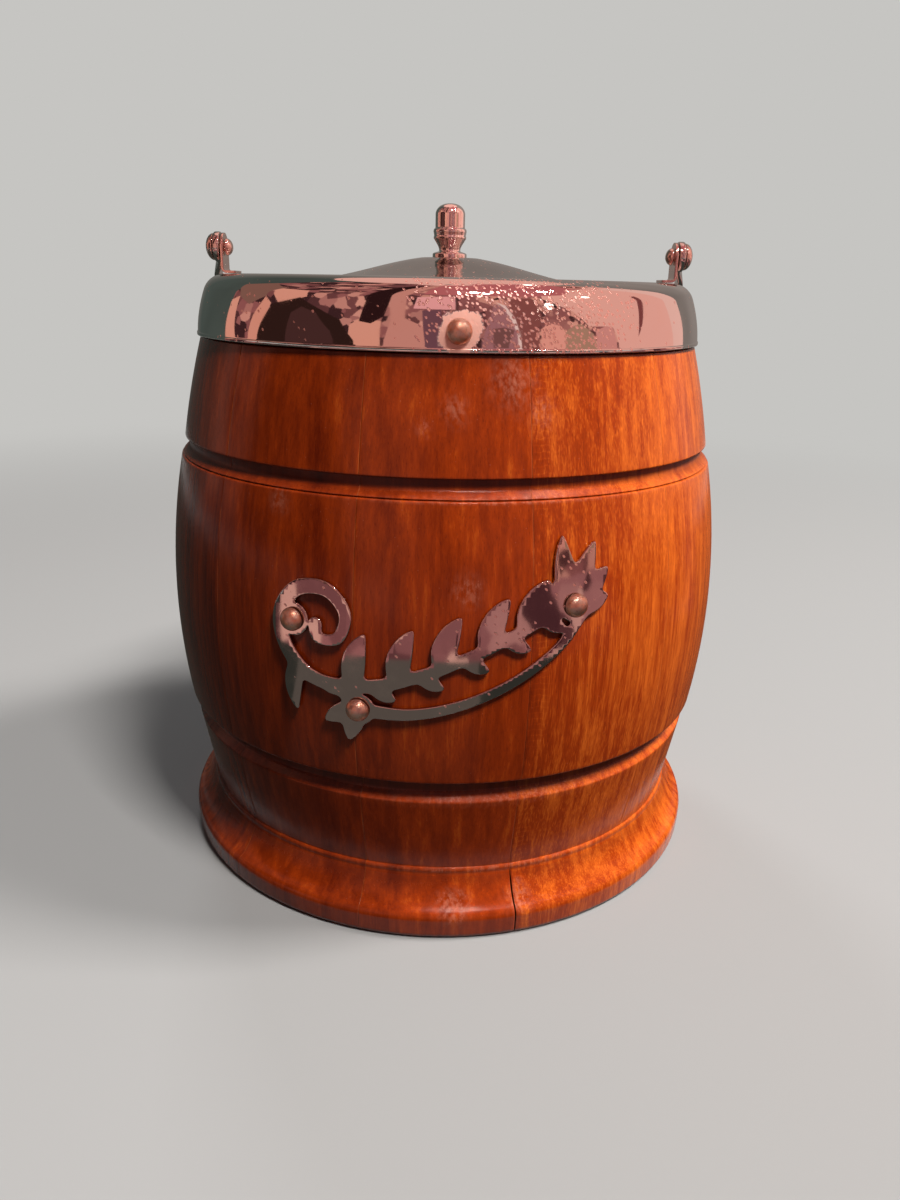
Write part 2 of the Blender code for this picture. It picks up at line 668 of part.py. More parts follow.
def pin_profile():
    """A dome head with a plain shank and a tip. The head's flat underside is at height 0."""
    steps = [math.radians(20 * i) for i in range(5)]
    dome = [(PIN_HEAD_RADIUS * math.sin(a), PIN_DOME * math.cos(a)) for a in steps]
    return dome + [
        (PIN_HEAD_RADIUS, PIN_DOME * 0.12),
        (PIN_HEAD_RADIUS * 0.94, 0.0),
        (PIN_SHANK_RADIUS, 0.0),
        (PIN_SHANK_RADIUS, PIN_TIP - PIN_LENGTH),
        (0.0, -PIN_LENGTH),
    ]


def pin_frame(radius, slope, angle, height):
    """Place of a pin whose head lies on a surface of that radius and slope, square to it."""
    normal = on_front(1.0, angle, -slope).normalized()
    across = Vector((0.0, 0.0, 1.0)).cross(normal).normalized()
    up = normal.cross(across)
    turn = Matrix((across, up, normal)).transposed().to_4x4()
    return Matrix.Translation(on_front(radius, angle, height)) @ turn


def collar_pin_frames():
    """Places of the pins that fix the collar."""
    height = BODY_HEIGHT + COLLAR_PIN_HEIGHT
    slope = -COLLAR_LEAN / (shoulder_height - BODY_HEIGHT)
    frames = []
    for i in range(COLLAR_PIN_COUNT):
        angle = COLLAR_PIN_ANGLE + 2 * math.pi * i / COLLAR_PIN_COUNT
        frames.append((angle, pin_frame(collar_wall_radius(height) + GAP, slope, angle, height)))
    return frames


def plate_pin_frames():
    """Places of the pins that fix the ornament."""
    frames = []
    for across, up in PLATE_PINS:
        angle = across * DRAWING_UNIT / BELLY_RADIUS
        height = ORNAMENT_HEIGHT + up * DRAWING_UNIT
        radius = belly_radius(height) + ORNAMENT_THICKNESS + 2 * GAP
        frames.append((angle, pin_frame(radius, belly_slope(height), angle, height)))
    return frames


def make_pins(name, frames):
    """A set of like pins, each its own piece."""
    pattern = freeze(lathe(name + "_1", pin_profile(), SMALL_STEPS, closed=False), "worn_brass")
    for i, (_, frame) in enumerate(frames):
        pin = pattern if i == 0 else add_object(f"{name}_{i + 1}", pattern.data)
        pin.matrix_world = frame


def make_pin_cutters(name, frames):
    """Drills for a set of pins."""
    cutters = []
    depth = PIN_LENGTH + 2 * GAP
    for i, (angle, frame) in enumerate(frames):
        drill = as_cutter(cylinder(f"{name}_{i + 1}", PIN_SHANK_RADIUS + GAP, depth, 12, "cutters"))
        drill.matrix_world = frame @ Matrix.Translation((0.0, 0.0, GAP - depth / 2))
        cutters.append((angle, drill))
    bpy.context.view_layer.update()
    return cutters


def smooth_line(points, count):
    """Points on a Catmull-Rom curve through a few chosen points, as (across, up, half width)."""
    knots = np.array([points[0], *points, points[-1]], dtype=float)
    line = []
    for i in range(1, len(knots) - 2):
        a, b, c, d = knots[i - 1:i + 3]
        for t in np.linspace(0.0, 1.0, count, endpoint=False):
            line.append(
                0.5 * (2 * b + (c - a) * t + (2 * a - 5 * b + 4 * c - d) * t ** 2
                       + (3 * b - a - 3 * c + d) * t ** 3)
            )
    line.append(knots[-1])
    return np.array(line)


def leaf(root, heading, length, width, bend):
    """A lens-shaped leaf that curves as it grows, as (across, up, half width)."""
    line = []
    position = np.array(root, dtype=float)
    steps = 14
    for i in range(steps + 1):
        t = i / steps
        line.append((*position, width * math.sin(math.pi * t ** 0.75) ** 0.8 + 0.35 * (1 - t) + 0.15))
        angle = math.radians(heading + bend * t)
        position = position + length / steps * np.array((math.cos(angle), math.sin(angle)))
    return np.array(line)


def ornament_strokes():
    """The spray: a scroll, a stem with leaves on both sides, a fan of leaves and a tendril below, as drawn."""
    _, fan_boss, low_boss = PLATE_PINS
    stem_points = [
        (-27.0, -12.0, 1.9), (-14.0, -10.0, 1.7), (0.0, -5.0, 1.5), (14.0, 1.5, 1.4), (25.0, 7.0, 1.4),
        (*fan_boss, 1.6),
    ]
    stem = smooth_line(stem_points, 12)
    strokes = [stem]
    scroll = [
        (-24.0, -12.2, 1.8), (-34.0, -9.5, 2.0), (-40.2, -2.5, 2.1), (-41.3, 5.5, 2.1), (-36.5, 12.0, 2.0),
        (-28.5, 12.6, 1.8), (-23.6, 7.2, 1.6), (-25.4, 0.9, 1.5), (-30.6, 0.4, 1.5), (-31.4, 3.6, 1.9),
    ]
    strokes.append(smooth_line(scroll, 8))
    tendril = [
        (*low_boss, 2.0), (-8.0, -17.6, 1.6), (5.0, -14.6, 1.4), (18.0, -8.6, 1.3), (29.0, -0.5, 1.3),
        (34.6, 7.0, 1.6),
    ]
    strokes.append(smooth_line(tendril, 10))
    strokes.append(smooth_line([(-24.5, -12.2, 1.6), (*low_boss, 2.0)], 6))
    for i in range(UPPER_LEAVES):
        position = 0.10 + 0.76 * i / (UPPER_LEAVES - 1)
        root = stem[int(position * (len(stem) - 1))]
        strokes.append(leaf(root[:2], 98 - 4 * i, 14.5 - 0.3 * i, 2.7, -40))
    for i in range(LOWER_LEAVES):
        position = 0.18 + 0.62 * i / (LOWER_LEAVES - 1)
        root = stem[int(position * (len(stem) - 1))]
        strokes.append(leaf(root[:2], -48, 6.4, 1.6, 34))
    for heading, length, bend in ((114, 17.5, -26), (76, 16.0, -14), (40, 12.5, 4), (-2, 9.5, 22)):
        strokes.append(leaf(fan_boss, heading, length, 2.6, bend))
    for heading, length, bend in ((-112, 9.5, 12), (-164, 10.0, 22)):
        strokes.append(leaf(low_boss, heading, length, 2.3, bend))
    strokes.append(leaf((-36.5, -7.0), -112, 13.5, 2.2, 40))
    return strokes


def ornament_field():
    """Signed distance to the spray on a flat grid, negative inside, with its grid lines."""
    strokes = [stroke * DRAWING_UNIT for stroke in ornament_strokes()]
    bosses = np.array(PLATE_PINS) * DRAWING_UNIT
    every = np.concatenate([bosses, *(stroke[:, :2] for stroke in strokes)])
    margin = BOSS_RADIUS + 2 * ORNAMENT_GRID
    low = every.min(axis=0) - margin
    high = every.max(axis=0) + margin
    across = np.arange(low[0], high[0], ORNAMENT_GRID)
    up = np.arange(low[1], high[1], ORNAMENT_GRID)
    grid_across, grid_up = np.meshgrid(across, up)
    blend = np.zeros_like(grid_across)
    for stroke in strokes:
        nearest = np.full_like(grid_across, np.inf)
        for x, y, half_width in stroke:
            nearest = np.minimum(nearest, np.hypot(grid_across - x, grid_up - y) - half_width)
        blend += np.exp(-nearest / ORNAMENT_FILLET)
    field = -ORNAMENT_FILLET * np.log(np.maximum(blend, 1e-12))
    for x, y in bosses:
        distance = np.hypot(grid_across - x, grid_up - y)
        field = np.minimum(field, distance - BOSS_RADIUS)
        field = np.maximum(field, PIN_SHANK_RADIUS + GAP - distance)
    return field, across, up


def cell_links(field, row, column):
    """Pairs of grid edges that an outline joins inside one cell."""
    corners = [(row, column), (row, column + 1), (row + 1, column + 1), (row + 1, column)]
    crossed = []
    for a, b in zip(corners, corners[1:] + corners[:1]):
        if (field[a] < 0) != (field[b] < 0):
            crossed.append((min(a, b), max(a, b)))
    if len(crossed) == 4 and (sum(field[c] for c in corners) < 0) == (field[corners[0]] < 0):
        crossed = crossed[1:] + crossed[:1]
    return list(zip(crossed[::2], crossed[1::2]))


def outline_loops(field, across, up):
    """Closed outlines where the field passes through zero."""
    inside = field < 0
    cells = inside[:-1, :-1].astype(int) + inside[1:, :-1] + inside[:-1, 1:] + inside[1:, 1:]
    links = {}
    for row, column in np.argwhere((cells > 0) & (cells < 4)).tolist():
        for a, b in cell_links(field, row, column):
            links.setdefault(a, []).append(b)
            links.setdefault(b, []).append(a)
    loops = []
    while links:
        start = next(iter(links))
        loop = [start]
        following = links.pop(start)[0]
        while following != start:
            options = links.pop(following)
            loop.append(following)
            following = options[0] if options[0] != loop[-2] else options[1]
        loops.append(loop)
    result = []
    for loop in loops:
        points = []
        for a, b in loop:
            t = field[a] / (field[a] - field[b])
            points.append((across[a[1]] + t * (across[b[1]] - across[a[1]]), up[a[0]] + t * (up[b[0]] - up[a[0]])))
        result.append(even_steps(np.array(points)))
    return result


def even_steps(loop):
    """A closed outline with its points at even distances."""
    closed = np.vstack([loop, loop[:1]])
    length = np.concatenate([[0.0], np.cumsum(np.hypot(*np.diff(closed, axis=0).T))])
    count = max(10, round(length[-1] / ORNAMENT_STEP))
    stops = np.linspace(0.0, length[-1], count, endpoint=False)
    return np.stack([np.interp(stops, length, closed[:, k]) for k in (0, 1)], axis=1)


def make_ornament():
    """The spray as a thin plate, cut at even folds and wrapped round the belly with a small gap."""
    curve = bpy.data.curves.new("ornament_plate", "CURVE")
    curve.dimensions = "2D"
    curve.fill_mode = "BOTH"
    curve.extrude = ORNAMENT_THICKNESS / 2
    loops = outline_loops(*ornament_field())
    for loop in loops:
        add_loop(curve, loop.tolist())
    plate = freeze(add_object("ornament_plate", curve), "chromed_brass")
    bm = bmesh.new()
    bm.from_mesh(plate.data)
    first = min(loop[:, 0].min() for loop in loops)
    last = max(loop[:, 0].max() for loop in loops)
    for fold in np.arange(first + ORNAMENT_FOLD, last, ORNAMENT_FOLD):
        every = [*bm.verts, *bm.edges, *bm.faces]
        bmesh.ops.bisect_plane(bm, geom=every, plane_co=(fold, 0.0, 0.0), plane_no=(1.0, 0.0, 0.0))
    bm.to_mesh(plate.data)
    bm.free()
    for vertex in plate.data.vertices:
        across, up, out = vertex.co
        height = ORNAMENT_HEIGHT + up
        radius = belly_radius(height) + GAP + ORNAMENT_THICKNESS / 2 + out
        vertex.co = on_front(radius, across / BELLY_RADIUS, height)
    shade(plate.data)


def main():
    """Clear the scene and build every piece."""
    for old in list(bpy.data.objects):
        bpy.data.objects.remove(old)
    collar_frames = collar_pin_frames()
    plate_frames = plate_pin_frames()
    collar_cutters = make_pin_cutters("collar_drill", collar_frames)
    plate_cutters = make_pin_cutters("plate_drill", plate_frames)
    make_staves(collar_cutters + plate_cutters)
    make_base_board()
    make_liner()
    make_collar(collar_cutters)
    seat = add_object("lid_seat", None)
    seat.location.z = ledge_top
    bpy.context.view_layer.update()
    make_lid(seat)
    make_knob(seat)
    for name, side in (("left", -1), ("right", 1)):
        make_lug("lug_" + name, side)
        make_rivet("pivot_rivet_" + name, side)
    make_bail()
    make_ornament()
    make_pins("collar_pin", collar_frames)
    make_pins("ornament_pin", plate_frames)


main()
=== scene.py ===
"""Looks of a turned biscuit barrel: varnished staves, chromed collar and lid, swing handle and pierced ornament.

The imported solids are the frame. Lengths in the classes are millimetres and angles are degrees, unless a name or a
comment says otherwise. Meshes are in metres, +Z up, with the front towards -Y and the barrel's axis on Z.
"""

import logging
import math
from dataclasses import dataclass
from enum import Enum
from functools import partial
from typing import Callable, Iterable, Sequence

import bmesh
import bpy
import numpy as np
from mathutils import Matrix, Vector, noise


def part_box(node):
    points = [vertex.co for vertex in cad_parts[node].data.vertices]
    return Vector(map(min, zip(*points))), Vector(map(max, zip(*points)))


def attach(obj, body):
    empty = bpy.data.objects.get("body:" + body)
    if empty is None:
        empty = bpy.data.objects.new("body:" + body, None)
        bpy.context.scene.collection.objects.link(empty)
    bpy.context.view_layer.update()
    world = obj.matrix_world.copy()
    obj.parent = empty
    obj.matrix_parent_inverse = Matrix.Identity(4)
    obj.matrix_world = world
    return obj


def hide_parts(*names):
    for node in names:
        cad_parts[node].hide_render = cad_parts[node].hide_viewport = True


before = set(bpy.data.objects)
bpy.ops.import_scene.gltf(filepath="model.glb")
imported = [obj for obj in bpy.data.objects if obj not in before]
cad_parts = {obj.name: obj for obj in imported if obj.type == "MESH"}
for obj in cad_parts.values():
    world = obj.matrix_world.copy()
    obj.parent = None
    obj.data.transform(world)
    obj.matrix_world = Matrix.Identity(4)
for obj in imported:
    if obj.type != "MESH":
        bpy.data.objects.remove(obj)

log = logging.getLogger("biscuit_barrel")

MM = 0.001
TINY = 1e-6
SMALL_STEPS = 48                               # facets round a small turned piece
HOLE_STEPS = 32                                # facets round a drilled hole
COLOURS = {"out": 2, "data_type": "RGBA"}      # makes a Mix node mix colours

Point = tuple[float, float]
Place = tuple[float, float, float]
Outline = list[tuple[float, ...]]
Socket = bpy.types.NodeSocket
Adder = Callable[..., Socket]


class Body(Enum):
    """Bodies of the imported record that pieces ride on."""

    BARREL = "barrel"
    BAIL = "bail"
    LID = "lid"


class Slot(Enum):
    """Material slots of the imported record."""

    BEECH = "varnished_beech"
    PLYWOOD = "plywood"
    EARTHENWARE = "glazed_earthenware"
    CHROME = "chromed_brass"
    BRASS = "worn_brass"
    STEEL = "steel"


class Side(Enum):
    """The two ends of the handle's axis."""

    LEFT = -1
    RIGHT = 1


def linear(code: str) -> tuple[float, float, float, float]:
    """Turn an sRGB hex value into a linear colour.

    Args:
        code: colour as #RRGGBB.

    Returns:
        Linear red, green and blue, with an alpha of 1.
    """
    channels = [int(code[i:i + 2], 16) / 255 for i in (1, 3, 5)]
    curve = [c / 12.92 if c <= 0.04045 else ((c + 0.055) / 1.055) ** 2.4 for c in channels]
    return (*curve, 1.0)


def add_node(
    tree: bpy.types.NodeTree, kind: str, inputs: dict | Sequence = (), out: int | str = 0, **settings: object
) -> Socket:
    """Add a shader node with its settings and links.

    Args:
        tree: node tree that gets the node.
        kind: Blender's name for the node, without its ShaderNode prefix.
        inputs: a value, a hex colour or another node's output for each input, by name or number, or in order.
        out: name or number of the output to return.
        settings: the node's own properties.

    Returns:
        The chosen output, or the first input of a node that has no outputs.
    """
    node = tree.nodes.new("ShaderNode" + kind)
    for name, value in settings.items():
        setattr(node, name, value)
    for key, value in inputs.items() if isinstance(inputs, dict) else enumerate(inputs):
        if isinstance(value, Socket):
            tree.links.new(value, node.inputs[key])
        else:
            node.inputs[key].default_value = linear(value) if isinstance(value, str) else value
    return node.outputs[out] if node.outputs else node.inputs[0]


@dataclass(frozen=True)
class Finish:
    """A finish that lays its nodes into one named material."""

    name: str

    def material(self) -> bpy.types.Material:
        """The finish as a material.

        Returns:
            The material, made on first use.
        """
        found = bpy.data.materials.get(self.name)
        if found is None:
            found = bpy.data.materials.new(self.name)
            found.use_nodes = True
            found.node_tree.nodes.clear()
            add = partial(add_node, found.node_tree)
            add("OutputMaterial", {"Surface": self.lay(add)})
        return found

    def lay(self, add: Adder) -> Socket:
        """Lay the nodes with the given adder and return the shader, as every finish does in its own way."""
        raise NotImplementedError

    @staticmethod
    def millimetres(add: Adder) -> Socket:
        """The place on the object, in millimetres."""
        return add("VectorMath", {0: add("TexCoord", out="Object"), "Scale": 1 / MM}, operation="SCALE")


@dataclass(frozen=True)
class VarnishedBeech(Finish):
    """Beech, turned, stained red-brown and varnished: vertical streaks, flecks and pores under a wet gloss."""

    name: str = "red_varnished_beech"
    deep: str = "#4E1002"
    middle: str = "#8A2E06"
    bright: str = "#C65E1A"
    pore: str = "#3E0F02"
    glue: str = "#B8683A"
    # pale haze for scuffed varnish and dust, and for the painted highlight along the beads
    haze: str = "#C98A72"
    # dark brown for painted shade in the grooves and the foot's cove, and for the open crack
    grime: str = "#1E0702"
    streak_mm: float = 8.0
    amber_mm: float = 2.4          # width of the amber streaks
    ring_mm: float = 1.2
    fibre_mm: float = 0.28
    fleck_mm: float = 0.36         # real flecks and pores are finer: drawn as coarse as they need to show
    pore_mm: float = 0.45
    ripple_mm: float = 1.6         # period of the ladder figure beside one joint
    dust_mm: float = 2.2
    joint_mm: float = 0.16         # width of the glue line on each side of a joint

    def lay(self, add: Adder) -> Socket:
        """Streaks, rings, flecks, fibres, pores, ripple, glue lines, scuffs and dust under varnish, with painted shade
        in the grooves and the foot's cove and a painted pale highlight along the beads.

        Args:
            add: adds a node to the material.

        Returns:
            The shader.
        """
        timber, stave, place = (
            add("Attribute", out="Vector", attribute_name=name) for name in ("timber", "stave", "place")
        )
        tone, figure, ripple = (add("SeparateXYZ", [stave], axis) for axis in "XYZ")
        edge, flecky, marks = (add("SeparateXYZ", [place], axis) for axis in "XYZ")
        # the third part of place is above zero for scuffs and painted highlight, below zero for painted shade in the
        # grooves and the foot's cove, and -1 at the open crack
        wear = add("Math", (marks, 0.0), operation="MAXIMUM")

        # Steps of each noise for a millimetre across, into and along the timber, with detail, roughness, distortion.
        streak, amber, fibre, fleck, ring, scuff, swell = (
            add("TexNoise", {
                "Vector": add("VectorMath", (timber, step), operation="MULTIPLY"), "Scale": 1.0, "Detail": detail,
                "Roughness": rough, "Distortion": bent,
            }) for step, detail, rough, bent in (
                ((1 / self.streak_mm, 1 / self.streak_mm, 1 / 90), 4.0, 0.55, 0.0),
                ((1 / self.amber_mm, 1 / self.amber_mm, 1 / 26), 4.0, 0.62, 0.0),
                ((1 / self.fibre_mm, 1 / self.fibre_mm, 1 / 11), 2.0, 0.5, 0.0),
                ((1 / self.fleck_mm, 1 / self.fleck_mm, 1 / 5), 1.0, 0.5, 0.0),
                ((1 / self.ring_mm, 0.05, 0.004), 2.0, 0.5, 0.15),
                ((0.9, 0.9, 0.55), 2.0, 0.6, 0.0),
                ((0.28, 0.28, 0.17), 1.0, 0.5, 0.0),
            )
        )
        pore_far, dust_far = (
            add("TexVoronoi", {
                "Vector": add("VectorMath", (timber, step), operation="MULTIPLY"), "Scale": 1.0,
            }, "Distance") for step in ((1 / self.pore_mm, 1 / self.pore_mm, 0.36), (1 / self.dust_mm,) * 3)
        )
        grimy, broad, ambered, ringed, ring_share, ticks, pore, glue, patchy, scuffed, dust = (
            add("MapRange", levels) for levels in (
                (marks, -1.0, 0.0, 0.92, 0.0), (streak, 0.32, 0.70, -0.13, 0.13), (amber, 0.42, 0.70, -0.08, 0.20),
                (ring, 0.34, 0.66, -0.5, 0.5), (figure, 0.0, 1.0, 0.04, 0.24), (fleck, 0.48, 0.72, -0.04, 0.16),
                (pore_far, 0.12, 0.26, 1.0, 0.0), (edge, 0.0, self.joint_mm, 0.42, 0.0),
                (amber, 0.38, 0.60, 0.15, 1.0), (scuff, 0.36, 0.70, 0.0, 1.0), (dust_far, 0.03, 0.08, 0.12, 0.0),
            )
        )
        height = add("SeparateXYZ", [timber], "Z")
        wander = add("Math", (amber, 2.4, height), operation="MULTIPLY_ADD")
        wave = add("Math", (wander, 2 * math.pi / self.ripple_mm), operation="MULTIPLY")
        rung = add("MapRange", (add("Math", [wave], operation="SINE"), 0.60, 1.0, 0.0, 0.10))
        fibred = add("Math", (fibre, -0.5), operation="ADD")
        shade = add("Math", (add("Math", (tone, broad), operation="ADD"), ambered), operation="ADD")
        for part, share in ((ringed, ring_share), (ticks, flecky), (fibred, 0.18), (rung, ripple)):
            shade = add("Math", (part, share, shade), operation="MULTIPLY_ADD")

        low, high = (add("MapRange", (shade, start, start + 0.5, 0.0, 1.0)) for start in (0.0, 0.5))
        scuffed = add("Math", (scuffed, wear), operation="MULTIPLY")
        # the pale haze here is partly scuffed varnish and partly painted highlight along the beads
        pored, broken, hazy = (
            add("Math", pair, operation="MULTIPLY") for pair in ((pore, 0.34), (glue, patchy), (scuffed, 0.29))
        )
        colour, gloss, relief = self.deep, 0.16, fibre
        for share, tint in (
            (low, self.middle), (high, self.bright), (pored, self.pore), (broken, self.glue), (hazy, self.haze),
            (dust, self.haze), (grimy, self.grime),
        ):
            colour = add("Mix", {0: share, 6: colour, 7: tint}, **COLOURS)
        for part, share in ((fibre, 0.10), (scuffed, 0.20), (grimy, 0.35)):
            gloss = add("Math", (part, share, gloss), operation="MULTIPLY_ADD")
        for part, share in ((pore, -0.55), (dust, 2.5), (scuffed, -1.2), (swell, 3.0)):
            relief = add("Math", (part, share, relief), operation="MULTIPLY_ADD")
        bumped = add("Bump", {"Height": relief, "Strength": 0.6, "Distance": 0.03 * MM})
        return add("BsdfPrincipled", {
            "Base Color": colour, "Roughness": gloss, "IOR": 1.5, "Specular IOR Level": 0.3, "Normal": bumped,
        })


@dataclass(frozen=True)
class ChromePlate(Finish):
    """Bright chrome over brass, polished then aged: a mirror with fine pits, faint waves and a few cloudy spots."""

    name: str = "bright_chrome_plate"
    metal: str = "#D8D0CC"
    cloud: str = "#D9CCC4"
    pit: str = "#F4D2CA"
    stain: str = "#EDB3A2"
    gloss: float = 0.035
    pit_mm: float = 1.0
    pit_share: float = 0.95        # share of the cells that hold a pit, where pitting is heaviest
    wave_mm: float = 14.0
    wave_depth_mm: float = 0.05
    cluster: Place = (19.0, -66.0, 166.0)
    cluster_mm: float = 31.0
    halo: Place | None = None
    halo_mm: float = 8.3

    def lay(self, add: Adder) -> Socket:
        """A mirror broken by pits, clouds and the sheet's own unevenness, with a pale stain round a pin.

        Args:
            add: adds a node to the material.

        Returns:
            The shader.
        """
        where = self.millimetres(add)
        wave, cloud, spread = (
            add("TexNoise", {"Vector": where, "Scale": scale, "Detail": detail, "Roughness": rough})
            for scale, detail, rough in ((1 / self.wave_mm, 1.0, 0.5), (0.16, 6.0, 0.65), (0.07, 3.0, 0.5))
        )
        near = add("VectorMath", (where, self.cluster), "Value", operation="DISTANCE")
        slant = add("VectorRotate", {"Vector": where, "Angle": 0.8}, rotation_type="Y_AXIS")
        slant = add("VectorMath", (slant, (1.35, 1.0, 0.8)), operation="MULTIPLY")
        cells = {"Vector": slant, "Scale": 1 / self.pit_mm}
        chance = add("SeparateColor", [add("TexVoronoi", cells, "Color")], "Red")
        cloudy, crowd, few, pit = (
            add("MapRange", levels) for levels in (
                (cloud, 0.50, 0.78, 0.0, 1.0), (near, self.cluster_mm, 17.0, 0.0, self.pit_share),
                (spread, 0.45, 0.75, 0.02, 0.12), (add("TexVoronoi", cells, "Distance"), 0.26, 0.44, 1.0, 0.0),
            )
        )
        chosen = add("Math", (chance, add("Math", (crowd, few), operation="ADD")), operation="LESS_THAN")
        pit = add("Math", (pit, chosen), operation="MULTIPLY")
        rough, colour, metallic = self.gloss, self.metal, 1.0
        for part, share in ((cloudy, 0.05), (pit, 0.40)):
            rough = add("Math", (part, share, rough), operation="MULTIPLY_ADD")
        for share, tint in ((add("Math", (cloudy, 0.5), operation="MULTIPLY"), self.cloud), (pit, self.pit)):
            colour = add("Mix", {0: share, 6: colour, 7: tint}, **COLOURS)
        if self.halo is not None:
            ring = add("VectorMath", (where, self.halo), "Value", operation="DISTANCE")
            ragged = add("Math", (cloud, 7.0, ring), operation="MULTIPLY_ADD")
            stain = add("MapRange", (ragged, self.halo_mm, self.halo_mm + 0.5, 1.0, 0.0))
            stained = add("Math", (stain, 0.9), operation="MULTIPLY")
            colour = add("Mix", {0: stained, 6: colour, 7: self.stain}, **COLOURS)
            rough, metallic = (
                add("Math", (stain, *change), operation="MULTIPLY_ADD") for change in ((0.34, rough), (-0.55, 1.0))
            )
        relief = add("Math", (pit, -0.25, wave), operation="MULTIPLY_ADD")
        bumped = add("Bump", {"Height": relief, "Strength": 1.0, "Distance": self.wave_depth_mm * MM})
        return add("BsdfPrincipled", {
            "Base Color": colour, "Metallic": metallic, "Roughness": rough, "Normal": bumped,
        })


@dataclass(frozen=True)
class WornBrass(Finish):
    """Brass domes, plated and rubbed through: coppery high spots, grey plate in patches, dull and mottled."""

    name: str = "rubbed_brass"
    copper: str = "#E0AC8E"
    plate: str = "#CDBBAE"
    grime: str = "#4E3B31"
    patch_mm: float = 1.6

    def lay(self, add: Adder) -> Socket:
        """Patches of copper and of grey plate with grime between them.

        Args:
            add: adds a node to the material.

        Returns:
            The shader.
        """
        where = self.millimetres(add)
        patch, grit = (
            add("TexNoise", {"Vector": where, "Scale": scale / self.patch_mm, "Detail": detail, "Roughness": rough})
            for scale, detail, rough in ((1.0, 5.0, 0.6), (2.6, 4.0, 0.5))
        )
        rubbed, dirty, rough = (
            add("MapRange", levels) for levels in (
                (patch, 0.40, 0.62, 0.0, 1.0), (grit, 0.56, 0.74, 0.0, 0.40), (grit, 0.3, 0.7, 0.32, 0.48),
            )
        )
        colour = self.plate
        for share, tint in ((rubbed, self.copper), (dirty, self.grime)):
            colour = add("Mix", {0: share, 6: colour, 7: tint}, **COLOURS)
        bumped = add("Bump", {"Height": patch, "Strength": 0.5, "Distance": 0.08 * MM})
        return add("BsdfPrincipled", {"Base Color": colour, "Metallic": 1.0, "Roughness": rough, "Normal": bumped})


@dataclass(frozen=True)
class GlazedEarthenware(Finish):
    """Cream earthenware under a clear glaze: soft body colour, wet gloss, hairline crazing and iron specks."""

    name: str = "cream_glazed_earthenware"
    body: str = "#E9E0CC"
    craze: str = "#B59B78"
    speck: str = "#6B4B33"
    craze_mm: float = 6.0
    speck_mm: float = 4.5

    def lay(self, add: Adder) -> Socket:
        """Glaze with hairlines and specks.

        Args:
            add: adds a node to the material.

        Returns:
            The shader.
        """
        where = self.millimetres(add)
        drift = add("TexNoise", {"Vector": where, "Scale": 0.2, "Detail": 2.0}, "Color")
        drift = add("VectorMath", {0: drift, "Scale": 3.0}, operation="SCALE")
        cells = {"Vector": add("VectorMath", (where, drift), operation="ADD"), "Scale": 1 / self.craze_mm}
        hair = add("TexVoronoi", cells, "Distance", feature="DISTANCE_TO_EDGE")
        spots = add("TexVoronoi", {"Vector": where, "Scale": 1 / self.speck_mm}, "Distance")
        colour = self.body
        for levels, tint in (
            ((hair, 0.004, 0.018, 0.35, 0.0), self.craze), ((spots, 0.02, 0.05, 0.5, 0.0), self.speck),
        ):
            colour = add("Mix", {0: add("MapRange", levels), 6: colour, 7: tint}, **COLOURS)
        soft = add("TexNoise", {"Vector": where, "Scale": 0.12, "Detail": 1.0})
        bumped = add("Bump", {"Height": soft, "Strength": 0.4, "Distance": 0.4 * MM})
        return add("BsdfPrincipled", {
            "Base Color": colour, "Roughness": 0.14, "IOR": 1.52, "Normal": bumped, "Coat Weight": 0.6,
            "Coat Roughness": 0.05,
        })


@dataclass(frozen=True)
class StainedPlywood(Finish):
    """Birch plywood, wiped with stain and left unvarnished: flat broad grain with darker scuffs."""

    name: str = "stained_plywood"
    pale: str = "#B98C5A"
    dark: str = "#7A4E2A"
    grain_mm: float = 2.4

    def lay(self, add: Adder) -> Socket:
        """Grain along X with fibres and handling marks.

        Args:
            add: adds a node to the material.

        Returns:
            The shader.
        """
        where = self.millimetres(add)
        along = add("VectorMath", (where, (0.03, 1 / self.grain_mm, 0.4)), operation="MULTIPLY")
        grain = add("TexNoise", {"Vector": along, "Scale": 1.0, "Detail": 5.0, "Distortion": 0.4})
        mark = add("TexNoise", {"Vector": where, "Scale": 0.05, "Detail": 6.0, "Roughness": 0.7})
        both = add("Math", (grain, mark), operation="ADD")
        share = add("MapRange", (both, 0.75, 1.25, 0.0, 1.0))
        colour = add("Mix", {0: share, 6: self.pale, 7: self.dark}, **COLOURS)
        rough = add("MapRange", (grain, 0.3, 0.7, 0.55, 0.78))
        bumped = add("Bump", {"Height": grain, "Strength": 0.5, "Distance": 0.1 * MM})
        return add("BsdfPrincipled", {"Base Color": colour, "Roughness": rough, "Normal": bumped})


@dataclass(frozen=True)
class TurnedSteel(Finish):
    """Plain steel, pressed and turned: fine circular marks and a dull grey shine."""

    name: str = "turned_steel"
    metal: str = "#A7A49F"
    mark_mm: float = 0.25

    def lay(self, add: Adder) -> Socket:
        """Marks round the axis that show as fine rings.

        Args:
            add: adds a node to the material.

        Returns:
            The shader.
        """
        flat = add("VectorMath", (self.millimetres(add), (1.0, 1.0, 0.0)), operation="MULTIPLY")
        out_from = add("VectorMath", [flat], "Value", operation="LENGTH")
        rings = add("TexNoise", {"W": out_from, "Scale": 1 / self.mark_mm}, noise_dimensions="1D")
        rough = add("MapRange", (rings, 0.3, 0.7, 0.28, 0.42))
        bumped = add("Bump", {"Height": rings, "Strength": 0.3, "Distance": 0.03 * MM})
        return add("BsdfPrincipled", {"Base Color": self.metal, "Metallic": 1.0, "Roughness": rough, "Normal": bumped})


